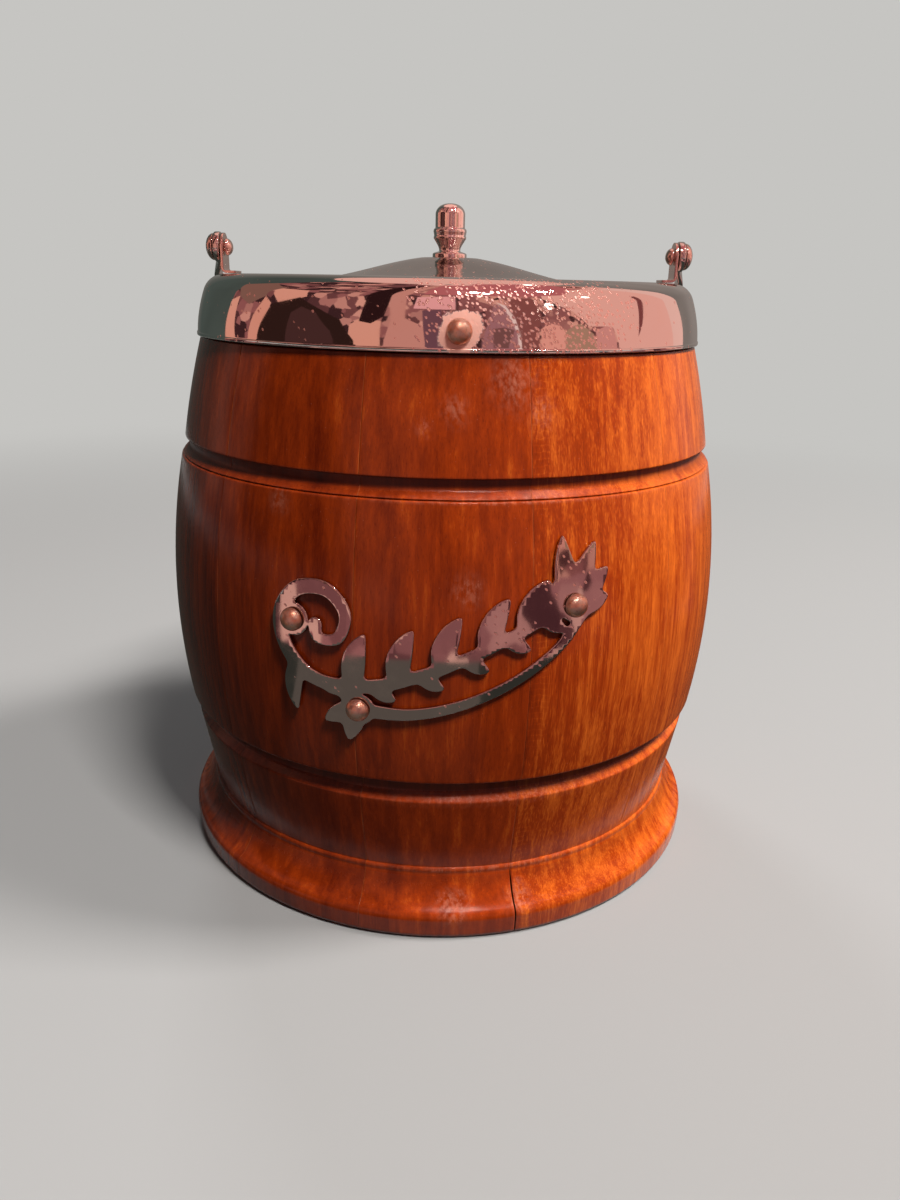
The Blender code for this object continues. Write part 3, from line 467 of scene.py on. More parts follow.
@dataclass(frozen=True)
class PaleFloor(Finish):
    """Matt pale paper that keeps the object's shadow near it and fades into an even backdrop further out."""

    name: str = "pale_paper"
    paper: str = "#858687"
    far: str = "#C6C5C2"
    dimmed: str = "#484644"        # what soft bounced light sees, so that the floor lights the object less
    fade_from: float = 0.35        # metres from the barrel's axis, as the next
    fade_to: float = 0.95

    def lay(self, add: Adder) -> Socket:
        """Paper near the object and an even tone far from it.

        Args:
            add: adds a node to the material.

        Returns:
            The shader.
        """
        seen = add("LightPath", out="Is Camera Ray")
        for ray in ("Is Glossy Ray", "Is Transmission Ray"):
            seen = add("Math", (seen, add("LightPath", out=ray)), operation="MAXIMUM")
        colour = add("Mix", {0: seen, 6: self.dimmed, 7: self.paper}, **COLOURS)
        paper = add("BsdfPrincipled", {"Base Color": colour, "Roughness": 0.85})
        even = add("Emission", {"Color": self.far, "Strength": seen})
        flat = add("VectorMath", (add("TexCoord", out="Object"), (1.0, 1.0, 0.0)), operation="MULTIPLY")
        away = add("VectorMath", [flat], "Value", operation="LENGTH")
        levels = (away, self.fade_from, self.fade_to, 0.0, 1.0)
        fade = add("MapRange", levels, interpolation_type="SMOOTHSTEP")
        return add("MixShader", (fade, paper, even))


@dataclass(frozen=True)
class DimCards(Finish):
    """Angular patches of a warm room round the front and plain grey round the back, for the metal to reflect."""

    name: str = "dim_cards"
    dark: str = "#44282A"
    mauve: str = "#A0605E"
    rose: str = "#EFA795"
    ceiling: str = "#FFC0B2"
    grey: str = "#958B85"
    left_grey: str = "#4E5752"
    patch: float = 13.0            # patches for each metre
    front: Point = (-110.0, 122.0)
    middle: float = 0.16           # height from which the ceiling's edge is measured, in metres

    def lay(self, add: Adder) -> Socket:
        """Patches by cell, with grey beyond the two ends of the front.

        Args:
            add: adds a node to the material.

        Returns:
            The shader.
        """
        where = add("TexCoord", out="Object")
        x, y, z = (add("SeparateXYZ", [where], axis) for axis in "XYZ")
        cells = {"Vector": where, "Scale": self.patch, "Randomness": 0.9}
        chance = add("SeparateColor", [add("TexVoronoi", cells, "Color", distance="CHEBYCHEV")], "Red")
        ahead = add("Math", (y, -1.0), operation="MULTIPLY")
        turn = add("Math", [add("Math", (x, ahead), operation="ARCTAN2")], operation="DEGREES")
        rise = add("Math", (chance, add("MapRange", (turn, -100.0, 90.0, -0.15, 0.15))), operation="ADD")
        soft = add("TexNoise", {"Vector": where, "Scale": 2.2, "Detail": 2.0})
        low, high, left, dim, ceiling_edge = (
            add("MapRange", levels) for levels in (
                (rise, 0.12, 0.42, 0.0, 1.0), (rise, 0.58, 0.92, 0.0, 1.0), (turn, -178.0, -142.0, 0.0, 1.0),
                (soft, 0.3, 0.7, 0.75, 1.1), (y, 0.0, 0.62, 0.84, 0.60),
            )
        )
        left = add("Math", (left, add("Math", (turn, 0.0), operation="LESS_THAN")), operation="MULTIPLY")
        grey = add("Mix", {0: left, 6: self.grey, 7: self.left_grey}, **COLOURS)
        grey = add("VectorMath", {0: grey, "Scale": dim}, operation="SCALE")
        past_left = add("Math", (turn, self.front[0]), operation="LESS_THAN")
        past_right = add("Math", (turn, self.front[1]), operation="GREATER_THAN")
        past = add("Math", (past_left, past_right), operation="ADD")
        up = add("Math", (z, -self.middle), operation="ADD")
        above = add("Math", (up, ceiling_edge), operation="GREATER_THAN")
        colour = self.dark
        for share, tint in ((low, self.mauve), (high, self.rose), (past, grey), (above, self.ceiling)):
            colour = add("Mix", {0: share, 6: colour, 7: tint}, **COLOURS)
        return add("Emission", {"Color": colour, "Strength": 1.0})


@dataclass(frozen=True)
class PlainCard(Finish):
    """A card of one even tone, for the metal to reflect."""

    tone: str = "#FFFFFF"

    def lay(self, add: Adder) -> Socket:
        """An even glow."""
        return add("Emission", {"Color": self.tone, "Strength": 1.0})


def on_front(radius: float, angle: float, height: float) -> Vector:
    """Point in metres at an angle in radians from the front, counted towards +X.

    Args:
        radius: distance from the barrel's axis, in millimetres.
        angle: angle from the front, in radians.
        height: height above the floor, in millimetres.

    Returns:
        The point in metres.
    """
    return Vector((radius * math.sin(angle), -radius * math.cos(angle), height)) * MM


def arc(
    centre: Point, radius: float, start: float, end: float, steps: int = 8, rise: float | None = None
) -> Outline:
    """Points on an arc.

    Args:
        centre: the arc's centre.
        radius: the arc's radius.
        start: angle of the first point.
        end: angle of the last point.
        steps: number of stretches.
        rise: the arc's radius upward, where it is another.

    Returns:
        The points from start to end.
    """
    up = radius if rise is None else rise
    angles = np.radians(np.linspace(start, end, steps + 1))
    return [(centre[0] + radius * math.cos(a), centre[1] + up * math.sin(a)) for a in angles]


def bowed(start: Point, end: Point, stops: Iterable[float], out: float = 0.0, up: float = 0.0) -> Outline:
    """Points on the way from one place to another, along a line or a shallow bow.

    Args:
        start: where the way starts.
        end: where it ends.
        stops: share of the way for each point.
        out: how far the middle bows outward.
        up: how far the middle bows upward.

    Returns:
        The points.
    """
    return [(
        start[0] + (end[0] - start[0]) * t + out * 4 * t * (1 - t),
        start[1] + (end[1] - start[1]) * t + up * 4 * t * (1 - t),
    ) for t in stops]


def disc(radius: float, top: float, bottom: float, *soft: float) -> Outline:
    """Section of a disc, whose two corners are softened where a radius for that is given."""
    return [(0.0, top), (radius, top, *soft), (radius, bottom, *soft), (0.0, bottom)]


def rounded(corners: Sequence[tuple[float, ...]], steps: int = 4) -> Outline:
    """Soften the corners of a closed outline.

    Args:
        corners: across and up for each corner, and a radius where the corner is softened.
        steps: number of stretches round a softened corner.

    Returns:
        The softened outline.
    """
    result: Outline = []
    for i, corner in enumerate(corners):
        here = Vector(corner[:2])
        if len(corner) < 3:
            result.append(tuple(here))
            continue
        before = Vector(corners[i - 1][:2]) - here
        after = Vector(corners[(i + 1) % len(corners)][:2]) - here
        reach = min(corner[2], 0.48 * before.length, 0.48 * after.length)
        first = here + before.normalized() * reach
        last = here + after.normalized() * reach
        for t in np.linspace(0.0, 1.0, steps + 1):
            result.append(tuple(first * (1 - t) ** 2 + here * 2 * t * (1 - t) + last * t ** 2))
    return result


def smooth(mesh: bpy.types.Mesh, sharp: float) -> None:
    """Shade a mesh smooth, apart from edges where faces meet at more than the given angle."""
    mesh.shade_smooth()
    mesh.set_sharp_from_angle(angle=math.radians(sharp))


def add_object(name: str, bm: bmesh.types.BMesh, sharp: float = 40.0) -> bpy.types.Object:
    """Turn a bmesh into a smooth-shaded object.

    Args:
        name: name of the object and its mesh.
        bm: the mesh under construction, which is freed.
        sharp: edges where faces meet at more than this angle stay sharp.

    Returns:
        The new object.
    """
    bmesh.ops.recalc_face_normals(bm, faces=bm.faces)
    mesh = bpy.data.meshes.new(name)
    bm.to_mesh(mesh)
    bm.free()
    smooth(mesh, sharp)
    return link(name, mesh)


def link(name: str, data: bpy.types.ID) -> bpy.types.Object:
    """Put data into the scene as an object.

    Args:
        name: name of the object.
        data: its mesh, curve, light or camera.

    Returns:
        The new object.
    """
    result = bpy.data.objects.new(name, data)
    bpy.context.scene.collection.objects.link(result)
    return result


def skin(bm: bmesh.types.BMesh, rows: Sequence[Sequence[bmesh.types.BMVert]], closed: bool = False) -> None:
    """Join rows of points with faces.

    Args:
        bm: the mesh under construction.
        rows: the rows, all of one length.
        closed: whether each row's last point joins its first.
    """
    for first, second in zip(rows, rows[1:]):
        for i in range(len(first) if closed else len(first) - 1):
            j = (i + 1) % len(first)
            bm.faces.new((first[i], first[j], second[j], second[i]))


def spun(name: str, outline: Outline, steps: int, sharp: float = 40.0) -> bpy.types.Object:
    """Turn an outline about Z.

    Args:
        name: name of the object.
        outline: radius and height of each point, closed on itself unless both ends are on the axis.
        steps: facets round the axis.
        sharp: edges where faces meet at more than this angle stay sharp.

    Returns:
        The turned object.
    """
    bm = bmesh.new()
    rings = []
    for radius, height in outline:
        if radius < TINY:
            rings.append([bm.verts.new((0.0, 0.0, height * MM))] * steps)
        else:
            rings.append([bm.verts.new(on_front(radius, 2 * math.pi * i / steps, height)) for i in range(steps)])
    pairs = list(zip(rings, rings[1:]))
    if outline[0][0] > TINY or outline[-1][0] > TINY:
        pairs.append((rings[-1], rings[0]))
    for upper, lower in pairs:
        for i in range(steps):
            j = (i + 1) % steps
            corners = list(dict.fromkeys((upper[i], upper[j], lower[j], lower[i])))
            if len(corners) > 2:
                bm.faces.new(corners)
    return add_object(name, bm, sharp)


def cut_across(bm: bmesh.types.BMesh, axis: Vector, places: Iterable[float]) -> None:
    """Cut a mesh along planes.

    Args:
        bm: the mesh under construction.
        axis: direction across the planes.
        places: how far along it each plane is.
    """
    for place in places:
        every = [*bm.verts, *bm.edges, *bm.faces]
        bmesh.ops.bisect_plane(bm, geom=every, plane_co=axis * place, plane_no=axis)


def result_of(piece: bpy.types.Object) -> bpy.types.Mesh:
    """A new mesh with the piece's modifiers or drawing worked out."""
    bpy.context.view_layer.update()
    return bpy.data.meshes.new_from_object(piece.evaluated_get(bpy.context.evaluated_depsgraph_get()))


def modify(piece: bpy.types.Object, kind: str, **settings: object) -> None:
    """Add a modifier and put its result into the piece's mesh.

    Args:
        piece: the object that is modified.
        kind: Blender's name for the modifier.
        settings: the modifier's own properties.
    """
    modifier = piece.modifiers.new(kind.title(), kind)
    for name, value in settings.items():
        setattr(modifier, name, value)
    mesh = result_of(piece)
    piece.modifiers.clear()
    piece.data = mesh
    mesh.name = piece.name


def carve(piece: bpy.types.Object, other: bpy.types.Object, place: Matrix, operation: str) -> None:
    """Add a shape to a piece, or take it away, and remove the shape.

    Args:
        piece: the object that keeps the result.
        other: the shape that is added or taken away.
        place: where the shape is put.
        operation: UNION or DIFFERENCE.
    """
    other.matrix_world = place
    modify(piece, "BOOLEAN", operation=operation, solver="EXACT", object=other)
    bpy.data.objects.remove(other)


def across_x(x: float, z: float = 0.0) -> Matrix:
    """Turns Z to X and moves to a place beside the barrel's axis, in millimetres."""
    return Matrix.Translation((x * MM, 0.0, z * MM)) @ Matrix.Rotation(math.pi / 2, 4, "Y")


def settle(piece: bpy.types.Object, finish: Finish, body: Body, slot: Slot, *nodes: str) -> None:
    """Give a piece its finish and its body, and hide the solids that it stands for.

    Args:
        piece: the piece.
        finish: its finish.
        body: the body that it rides on.
        slot: the record's slot for its finish; not used.
        nodes: names of the solids that it replaces.
    """
    piece.data.materials.clear()
    piece.data.materials.append(finish.material())
    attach(piece, body.value)
    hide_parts(*nodes)
    log.info("%s: %d faces, on %s, for %s", piece.name, len(piece.data.polygons), body.value, ", ".join(nodes))


@dataclass
class StaveBody:
    """The turned wooden body: staves with two grooves, a lower bead, a fillet ring and a flared foot."""

    count: int = 12
    columns: int = 30
    bore_radius: float = 63.0
    stave_top: float = 164.1
    spigot_radius: float = 69.9
    spigot_chamfer: float = 1.0
    band_top: float = 153.1
    band_top_radius: float = 72.3
    band_bulge: float = 0.4
    belly_radius: float = 84.2
    belly_height: float = 78.5
    belly_sweep: float = 194.0
    upper_groove_top: float = 125.6
    upper_groove_height: float = 5.1
    upper_groove_depth: float = 1.3
    upper_ramp_height: float = 2.0     # the groove's lower side, which slopes out to the belly's edge
    upper_quirk: float = 0.45          # narrow cut between that slope and the belly
    lower_groove_top: float = 47.5
    lower_groove_root: float = 77.8
    lower_ramp_top: float = 43.1
    lower_ramp_low: float = 40.9
    lower_band_top_radius: float = 80.0
    lower_band_low_radius: float = 75.9
    foot_height: float = 16.5
    foot_radius: float = 82.9
    foot_nose: float = 8.4             # height of the nose's upper edge
    nose_round: float = 3.3
    nose_drop: float = 2.56            # depth of the middle of its round below that edge
    nose_start: float = 51.0           # angle above level at which its round starts
    foot_slope: float = 0.25           # how far the foot's face falls back below the nose
    foot_chamfer: Point = (1.2, 1.4)   # across and up, at the foot's lower edge
    cove_depth: float = 1.15
    fillet_height: float = 1.9
    fillet_proud: float = 0.6
    rebate_radius: float = 67.5
    rebate_height: float = 8.3
    joint_gap: float = 0.05
    crack_gap: float = 0.50            # the open joint in the foot, right of the middle
    crack_top: float = 17.0
    seed: int = 40                     # of the first stave's chances, which its neighbours count on from
    arris: float = 0.07                # fall of a stave's face at its long edges
    arris_width: float = 0.3
    ladder_stave: int = 1              # the stave whose left edge carries the ladder figure
    ladder: Point = (2.4, 2.4)         # middle and spread of that figure, from the edge
    ladder_faint: float = 0.25         # its strength between its stretches
    ladder_waves: float = 0.105        # pace of its stretches up the stave, in radians for each millimetre
    wear_spots: tuple[Place, ...] = (
        (1.5, 141.0, 2.6), (17.0, 140.5, 3.0), (12.0, 147.5, 5.0), (-4.0, 137.0, 1.6), (3.0, 9.4, 4.0),
        (16.0, 9.8, 3.2), (16.5, 12.8, 2.0), (4.0, 100.0, 3.0), (-30.0, 118.0, 2.5),
    )                                  # angle, height and radius of each scuff; some of them are partly painted highlight where light glares off the varnish
    # height and reach of the pale bands on the upper ramp, the belly's edge, the lower ramp and the fillet: painted
    # highlight where light glares off them, with some rubbing
    wear_bands: tuple[Point, ...] = ((121.8, 1.1), (120.3, 0.35), (41.8, 1.5), (17.6, 0.9))
    wear_middle: float = 14.0          # angle round which the pale bands, painted highlight with some rubbing, are strongest
    wear_spread: float = 26.0
    timbers: tuple[tuple[dict[int, float], float, float], ...] = (
        # the low tones of staves 10 and 11 on the left are partly painted shade of the barrel's dim left side
        ({0: 0.38, 1: 0.60, 2: 0.74, 3: 0.62, 10: 0.31, 11: 0.33}, 0.34, 0.56),
        ({1: 0.12}, -0.06, 0.06),
        ({0: 0.15, 1: 0.5, 2: 0.9, 11: 0.1}, 0.1, 0.8),
        ({0: 0.35, 1: 1.0, 2: 0.8, 11: 0.2}, 0.2, 0.7),
    )                                  # tone, its lean across, rings and flecks: known staves, and the others' range

    def radius_at(self, height: float) -> float:
        """Radius of the belly's curve at a height."""
        return self.belly_radius - (height - self.belly_height) ** 2 / (2 * self.belly_sweep)

    def outline(self) -> tuple[Outline, int]:
        """Section of a stave, down its outside and back up the bore.

        Returns:
            The section, and how many of its points belong to the outside.
        """
        groove = (self.radius_at(self.upper_groove_top), self.upper_groove_top)
        belly_top = self.upper_groove_top - self.upper_groove_height
        floor_radius = groove[0] - self.upper_groove_depth
        edge_radius = self.radius_at(belly_top)
        ramp_low = belly_top + self.upper_quirk
        bead = (self.lower_band_top_radius, self.lower_ramp_low)
        fillet = (self.lower_band_low_radius, self.foot_height + self.fillet_height)
        fillet_half = self.fillet_height / 2
        nose = arc(
            (self.foot_radius - self.nose_round, self.foot_nose - self.nose_drop), self.nose_round, self.nose_start,
            -6, 9,
        )
        cove = (fillet[0] + 0.9 * self.fillet_proud, self.foot_height)
        corners: Outline = [
            (self.bore_radius, self.stave_top, 0.4),
            (self.spigot_radius, self.stave_top, self.spigot_chamfer),
            (self.spigot_radius, self.band_top, 0.2),
            (self.band_top_radius, self.band_top, 0.35),
            *bowed((self.band_top_radius, self.band_top), groove, np.linspace(0.08, 0.97, 14), self.band_bulge),
            (*groove, 0.5),
            (floor_radius, self.upper_groove_top - 0.1, 0.3),
            (floor_radius, ramp_low + self.upper_ramp_height, 0.8),
            (edge_radius - 0.35, ramp_low, 0.45),
            (edge_radius - 0.75, belly_top + 0.1, 0.1),
            (edge_radius, belly_top, 0.35),
            *((self.radius_at(h), h) for h in np.linspace(belly_top - 0.8, self.lower_groove_top + 1.0, 44)),
            (self.radius_at(self.lower_groove_top), self.lower_groove_top, 0.6),
            (self.lower_groove_root, self.lower_groove_top - 0.2, 0.4),
            (self.lower_groove_root, self.lower_ramp_top, 0.7),
            (*bead, 0.4),
            *bowed(bead, fillet, np.linspace(0.1, 0.96, 10)),
            (*fillet, 0.25),
            *arc((fillet[0], fillet[1] - fillet_half), self.fillet_proud, 75, -30, 6, fillet_half),
            *bowed(cove, (nose[0][0], self.foot_nose), np.linspace(0.0, 0.97, 16), 0.0, -self.cove_depth),
            *nose,
            (self.foot_radius - self.foot_slope, self.foot_chamfer[1], 0.5),
            (self.foot_radius - self.foot_chamfer[0], 0.0, 0.5),
        ]
        outside = len(rounded([*corners, (self.rebate_radius, 0.0)])) - 1
        rebate = [
            (self.rebate_radius, 0.0, 0.3), (self.rebate_radius, self.rebate_height),
            (self.bore_radius, self.rebate_height, 0.3),
        ]
        return rounded(corners + rebate), outside

    def gap(self, number: int, side: int, height: float) -> float:
        """Width of the joint on one side of a stave, which opens into a crack low in the foot.

        Args:
            number: the stave, from 0 at the front towards +X.
            side: -1 or 1.
            height: height above the floor.

        Returns:
            The joint's width.
        """
        if (number, side) not in ((0, 1), (1, -1)) or height > self.crack_top:
            return self.joint_gap
        depth = min(1.0, (self.crack_top - height) / 4)
        return self.joint_gap + (self.crack_gap - self.joint_gap) * (0.45 + 0.55 * height / self.crack_top) * depth

    def wear(self, angle: float, height: float) -> float:
        """How scuffed the varnish is at a place, with painted highlight along the beads and at some scuffs.

        Args:
            angle: angle from the front.
            height: height above the floor.

        Returns:
            The scuffing and painted highlight, from 0 to 1.
        """
        faced = math.exp(-((angle - self.wear_middle) / self.wear_spread) ** 2)
        rubbed = [0.7 * faced * math.exp(-((height - middle) / reach) ** 2) for middle, reach in self.wear_bands]
        for spot_angle, spot_height, radius in self.wear_spots:
            across = math.radians(angle - spot_angle) * self.belly_radius
            rubbed.append(math.exp(-(math.hypot(across, height - spot_height) / radius) ** 2))
        return max(rubbed)

    def recess(self, radius: float, height: float) -> float:
        """How much painted shade a place gets: most in the floor of the grooves, some under the fillet.

        Args:
            radius: distance from the barrel's axis.
            height: height above the floor.

        Returns:
            The share of painted shade, from 0 to 1.
        """
        groove_low = self.upper_groove_top - self.upper_groove_height
        if groove_low - 0.05 < height < self.upper_groove_top:
            return min(max((self.radius_at(height) - radius - 0.3) / self.upper_groove_depth, 0.0), 1.0)
        if self.lower_ramp_low < height < self.lower_groove_top:
            return min(max((self.lower_band_top_radius - radius - 1.5) / 0.7, 0.0), 1.0)
        lowest = (height - self.foot_height + 1.2) / 2.2
        return 0.6 * math.exp(-lowest ** 2) if self.foot_nose < height < self.foot_height else 0.0

    def stave(self, number: int) -> bpy.types.Object:
        """One stave with the attributes that its grain follows.

        Args:
            number: the stave, from 0 at the front towards +X.

        Returns:
            The stave.
        """
        pitch = 2 * math.pi / self.count
        outline, outside = self.outline()
        share = self.arris_width / (pitch / 2 * self.belly_radius)
        edge = [1.0, 1 - share * 0.25, 1 - share * 0.6]
        across = [*(-u for u in edge), *np.linspace(-1 + share, 1 - share, self.columns), *reversed(edge)]
        random = np.random.default_rng(self.seed + number)
        ring_angle = math.radians(random.uniform(-9, 9))
        tone, lean, figure, flecky = (
            known.get(number, random.uniform(low, high)) for known, low, high in self.timbers
        )
        start = Vector(random.uniform(50, 900, 3))
        proud = random.uniform(-0.03, 0.0)
        bm = bmesh.new()
        columns = []
        grain: dict[str, list[Place]] = {"timber": [], "stave": [], "place": []}
        for u in across:
            fall = self.arris * max(0.0, 1 - (1 - abs(u)) / share) ** 2
            column = []
            for k, (radius, height) in enumerate(outline):
                gap = self.gap(number, -1 if u < 0 else 1, height)
                half = pitch / 2 - gap / 2 / radius
                turn = u * half
                outer = 4 < k < outside
                face = radius + proud - fall if outer else radius
                column.append(bm.verts.new(on_front(face, number * pitch + turn, height)))
                x = radius * math.sin(turn)
                y = radius * math.cos(turn) - self.belly_radius
                grain["timber"].append((
                    x * math.cos(ring_angle) + y * math.sin(ring_angle) + start.x,
                    y * math.cos(ring_angle) - x * math.sin(ring_angle) + start.y,
                    height + start.z,
                ))
                away = (radius * (turn + half) - self.ladder[0]) / self.ladder[1]
                ladder = math.exp(-away ** 2) if number == self.ladder_stave else 0.0
                if math.sin(height * self.ladder_waves) <= -0.2:
                    ladder *= self.ladder_faint
                grain["stave"].append((tone + lean * u, figure, ladder))
                angle = math.degrees(number * pitch + turn)
                angle = angle - 360 if angle > 180 else angle
                # scuffs and painted highlight count up here, painted shade in the grooves and the foot's cove counts
                # down
                marks = self.wear(angle, height) - (0.5 * self.recess(radius, height) if outer else 0.0)
                cracked = abs(u) == 1.0 and gap > 2 * self.joint_gap
                near = radius * (half - abs(turn))
                grain["place"].append((1.0, flecky, -1.0) if cracked else (near, flecky, marks))
            columns.append(column)
        skin(bm, columns, closed=True)
        bm.faces.new(columns[0])
        bm.faces.new(list(reversed(columns[-1])))
        bm.verts.index_update()
        piece = add_object(f"stave_{number + 1:02d}_turned", bm, 50.0)
        for name, values in grain.items():
            attribute = piece.data.attributes.new(name, "FLOAT_VECTOR", "POINT")
            attribute.data.foreach_set("vector", np.array(values, np.float32).ravel())
        return piece

    def build(self) -> None:
        """Make and dress every stave."""
        for number in range(self.count):
            settle(self.stave(number), VarnishedBeech(), Body.BARREL, Slot.BEECH, f"stave_{number + 1:02d}")


@dataclass
class BaseBoard:
    """The plywood disc let into the staves' rebate."""

    chamfer: float = 0.5
    steps: int = 120

    def build(self) -> None:
        """Make and dress the board."""
        low, high = (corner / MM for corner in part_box("base_board"))
        outline = rounded(disc(high.x, high.z, low.z, self.chamfer), 3)
        board = spun("base_board_disc", outline, self.steps)
        settle(board, StainedPlywood(), Body.BARREL, Slot.PLYWOOD, "base_board")


@dataclass
class Liner:
    """The glazed pot inside the staves."""

    wall: float = 4.0
    floor: float = 5.0
    foot_round: float = 4.0
    inner_round: float = 2.4
    steps: int = 128

    def build(self) -> None:
        """Make and dress the pot."""
        low, high = (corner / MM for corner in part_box("ceramic_liner"))
        floor = low.z + self.floor
        lip = self.wall / 2
        outline = [
            (0.0, floor),
            *arc((high.x - self.wall - self.inner_round, floor + self.inner_round), self.inner_round, -90, 0),
            *arc((high.x - lip, high.z - lip), lip, 180, 0, 12),
            *arc((high.x - self.foot_round, low.z + self.foot_round), self.foot_round, 0, -90),
            (0.0, low.z),
        ]
        pot = spun("liner_pot", outline, self.steps)
        settle(pot, GlazedEarthenware(), Body.BARREL, Slot.EARTHENWARE, "ceramic_liner")


@dataclass
class Collar:
    """The pressed ring: a wall that curves in to the round shoulder, a rolled edge, a flat land and a lid ledge."""

    sheet: float = 0.8
    lean: float = 2.0
    wall_lean: float = 19.8            # lean from upright where the wall runs into the shoulder
    shoulder: float = 6.3
    land: float = 3.3
    bead: float = 0.35
    well_depth: float = 4.5
    mouth_radius: float = 57.5
    steps: int = 240

    def build(self) -> None:
        """Make and dress the ring."""
        low, high = (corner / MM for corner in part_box("rim_collar"))
        bottom, top = low.z, high.z
        radius = high.x - 0.6 * self.bead
        shoulder = (radius - self.lean - self.shoulder, top - self.shoulder)
        well = shoulder[0] - self.land
        ledge = top - self.well_depth
        bend = arc(shoulder, self.shoulder, 90, self.wall_lean, 20)
        fall, rise = radius - bend[-1][0], bend[-1][1] - bottom
        power = math.tan(math.radians(self.wall_lean)) * rise / fall
        bead_up = bottom + 2 * self.bead
        corners: Outline = [
            (self.mouth_radius, ledge, 0.3),
            (well, ledge, 0.5),
            (well, top, 0.35),
            *bend,
            *((radius - fall * t ** power, bottom + rise * t) for t in np.linspace(0.96, 0.13, 16)),
            (radius - 0.02, bead_up + 1.4 * self.bead, 0.2),
            *arc((radius - 0.4 * self.bead, bead_up), self.bead, 70, -20, 6),
            (radius + 0.6 * self.bead, bottom, 0.3),
            (radius - self.sheet, bottom, 0.2),
            *arc(shoulder, self.shoulder - self.sheet, 4, 90, 8),
            (well + self.sheet, top - self.sheet, 0.2),
            (well + self.sheet, ledge - self.sheet, 0.3),
            (self.mouth_radius, ledge - self.sheet, 0.3),
        ]
        collar = spun("collar_ring", rounded(corners), self.steps)
        pin_low, pin_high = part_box("collar_pin_1")
        pin = (pin_low + pin_high) / 2 / MM
        finish = ChromePlate(name="pitted_chrome_plate", halo=(pin.x, -radius + 1, pin.z))
        settle(collar, finish, Body.BARREL, Slot.CHROME, "rim_collar")


@dataclass
class Lid:
    """The spun lid: flat seat, low bell, down-turned edge and skirt."""

    sheet: float = 0.8
    dome_height: float = 7.55
    dome_radius: float = 46.0
    seat_radius: float = 8.4
    stud_hole: float = 1.9
    skirt_radius: float = 56.9
    edge_low: float = 4.2              # bottom of the down-turned edge, below the collar's top
    steps: int = 200

    def rise(self, radius: float) -> float:
        """Height of the upper face above the lid's edge, at a radius."""
        t = min(max(radius, self.seat_radius) / self.dome_radius, 1.0)
        return self.dome_height * (1 + math.cos(math.pi * t)) / 2

    def build(self) -> None:
        """Make and dress the lid."""
        low, high = (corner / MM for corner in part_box("lid"))
        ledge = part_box("rim_collar")[1].z / MM - self.edge_low
        edge = high.z - self.rise(0.0)
        under = edge - self.sheet
        reach = high.x - self.sheet
        skirt = self.skirt_radius
        sweep = np.linspace(self.seat_radius, reach - 0.3, 40)
        corners: Outline = [
            (self.stud_hole, high.z, 0.1),
            *((r, edge + self.rise(r)) for r in sweep),
            (high.x, edge - 0.1, 0.5),
            (high.x, ledge, 0.25),
            (reach, ledge, 0.25),
            (reach, under, 0.3),
            (skirt, under, 0.3),
            (skirt, low.z, 0.3),
            (skirt - self.sheet, low.z, 0.3),
            (skirt - self.sheet, under, 0.3),
            *((r, under + self.rise(r)) for r in reversed(sweep) if r < skirt - 2 * self.sheet),
            (self.stud_hole, high.z - self.sheet, 0.1),
        ]
        finish = ChromePlate(
            name="dulled_chrome_plate", gloss=0.08, metal="#B9AFAA", pit_share=0.05, cluster=(20.0, -20.0, 170.0),
            wave_mm=30.0,
        )
        settle(spun("lid_cover", rounded(corners), self.steps), finish, Body.LID, Slot.CHROME, "lid")


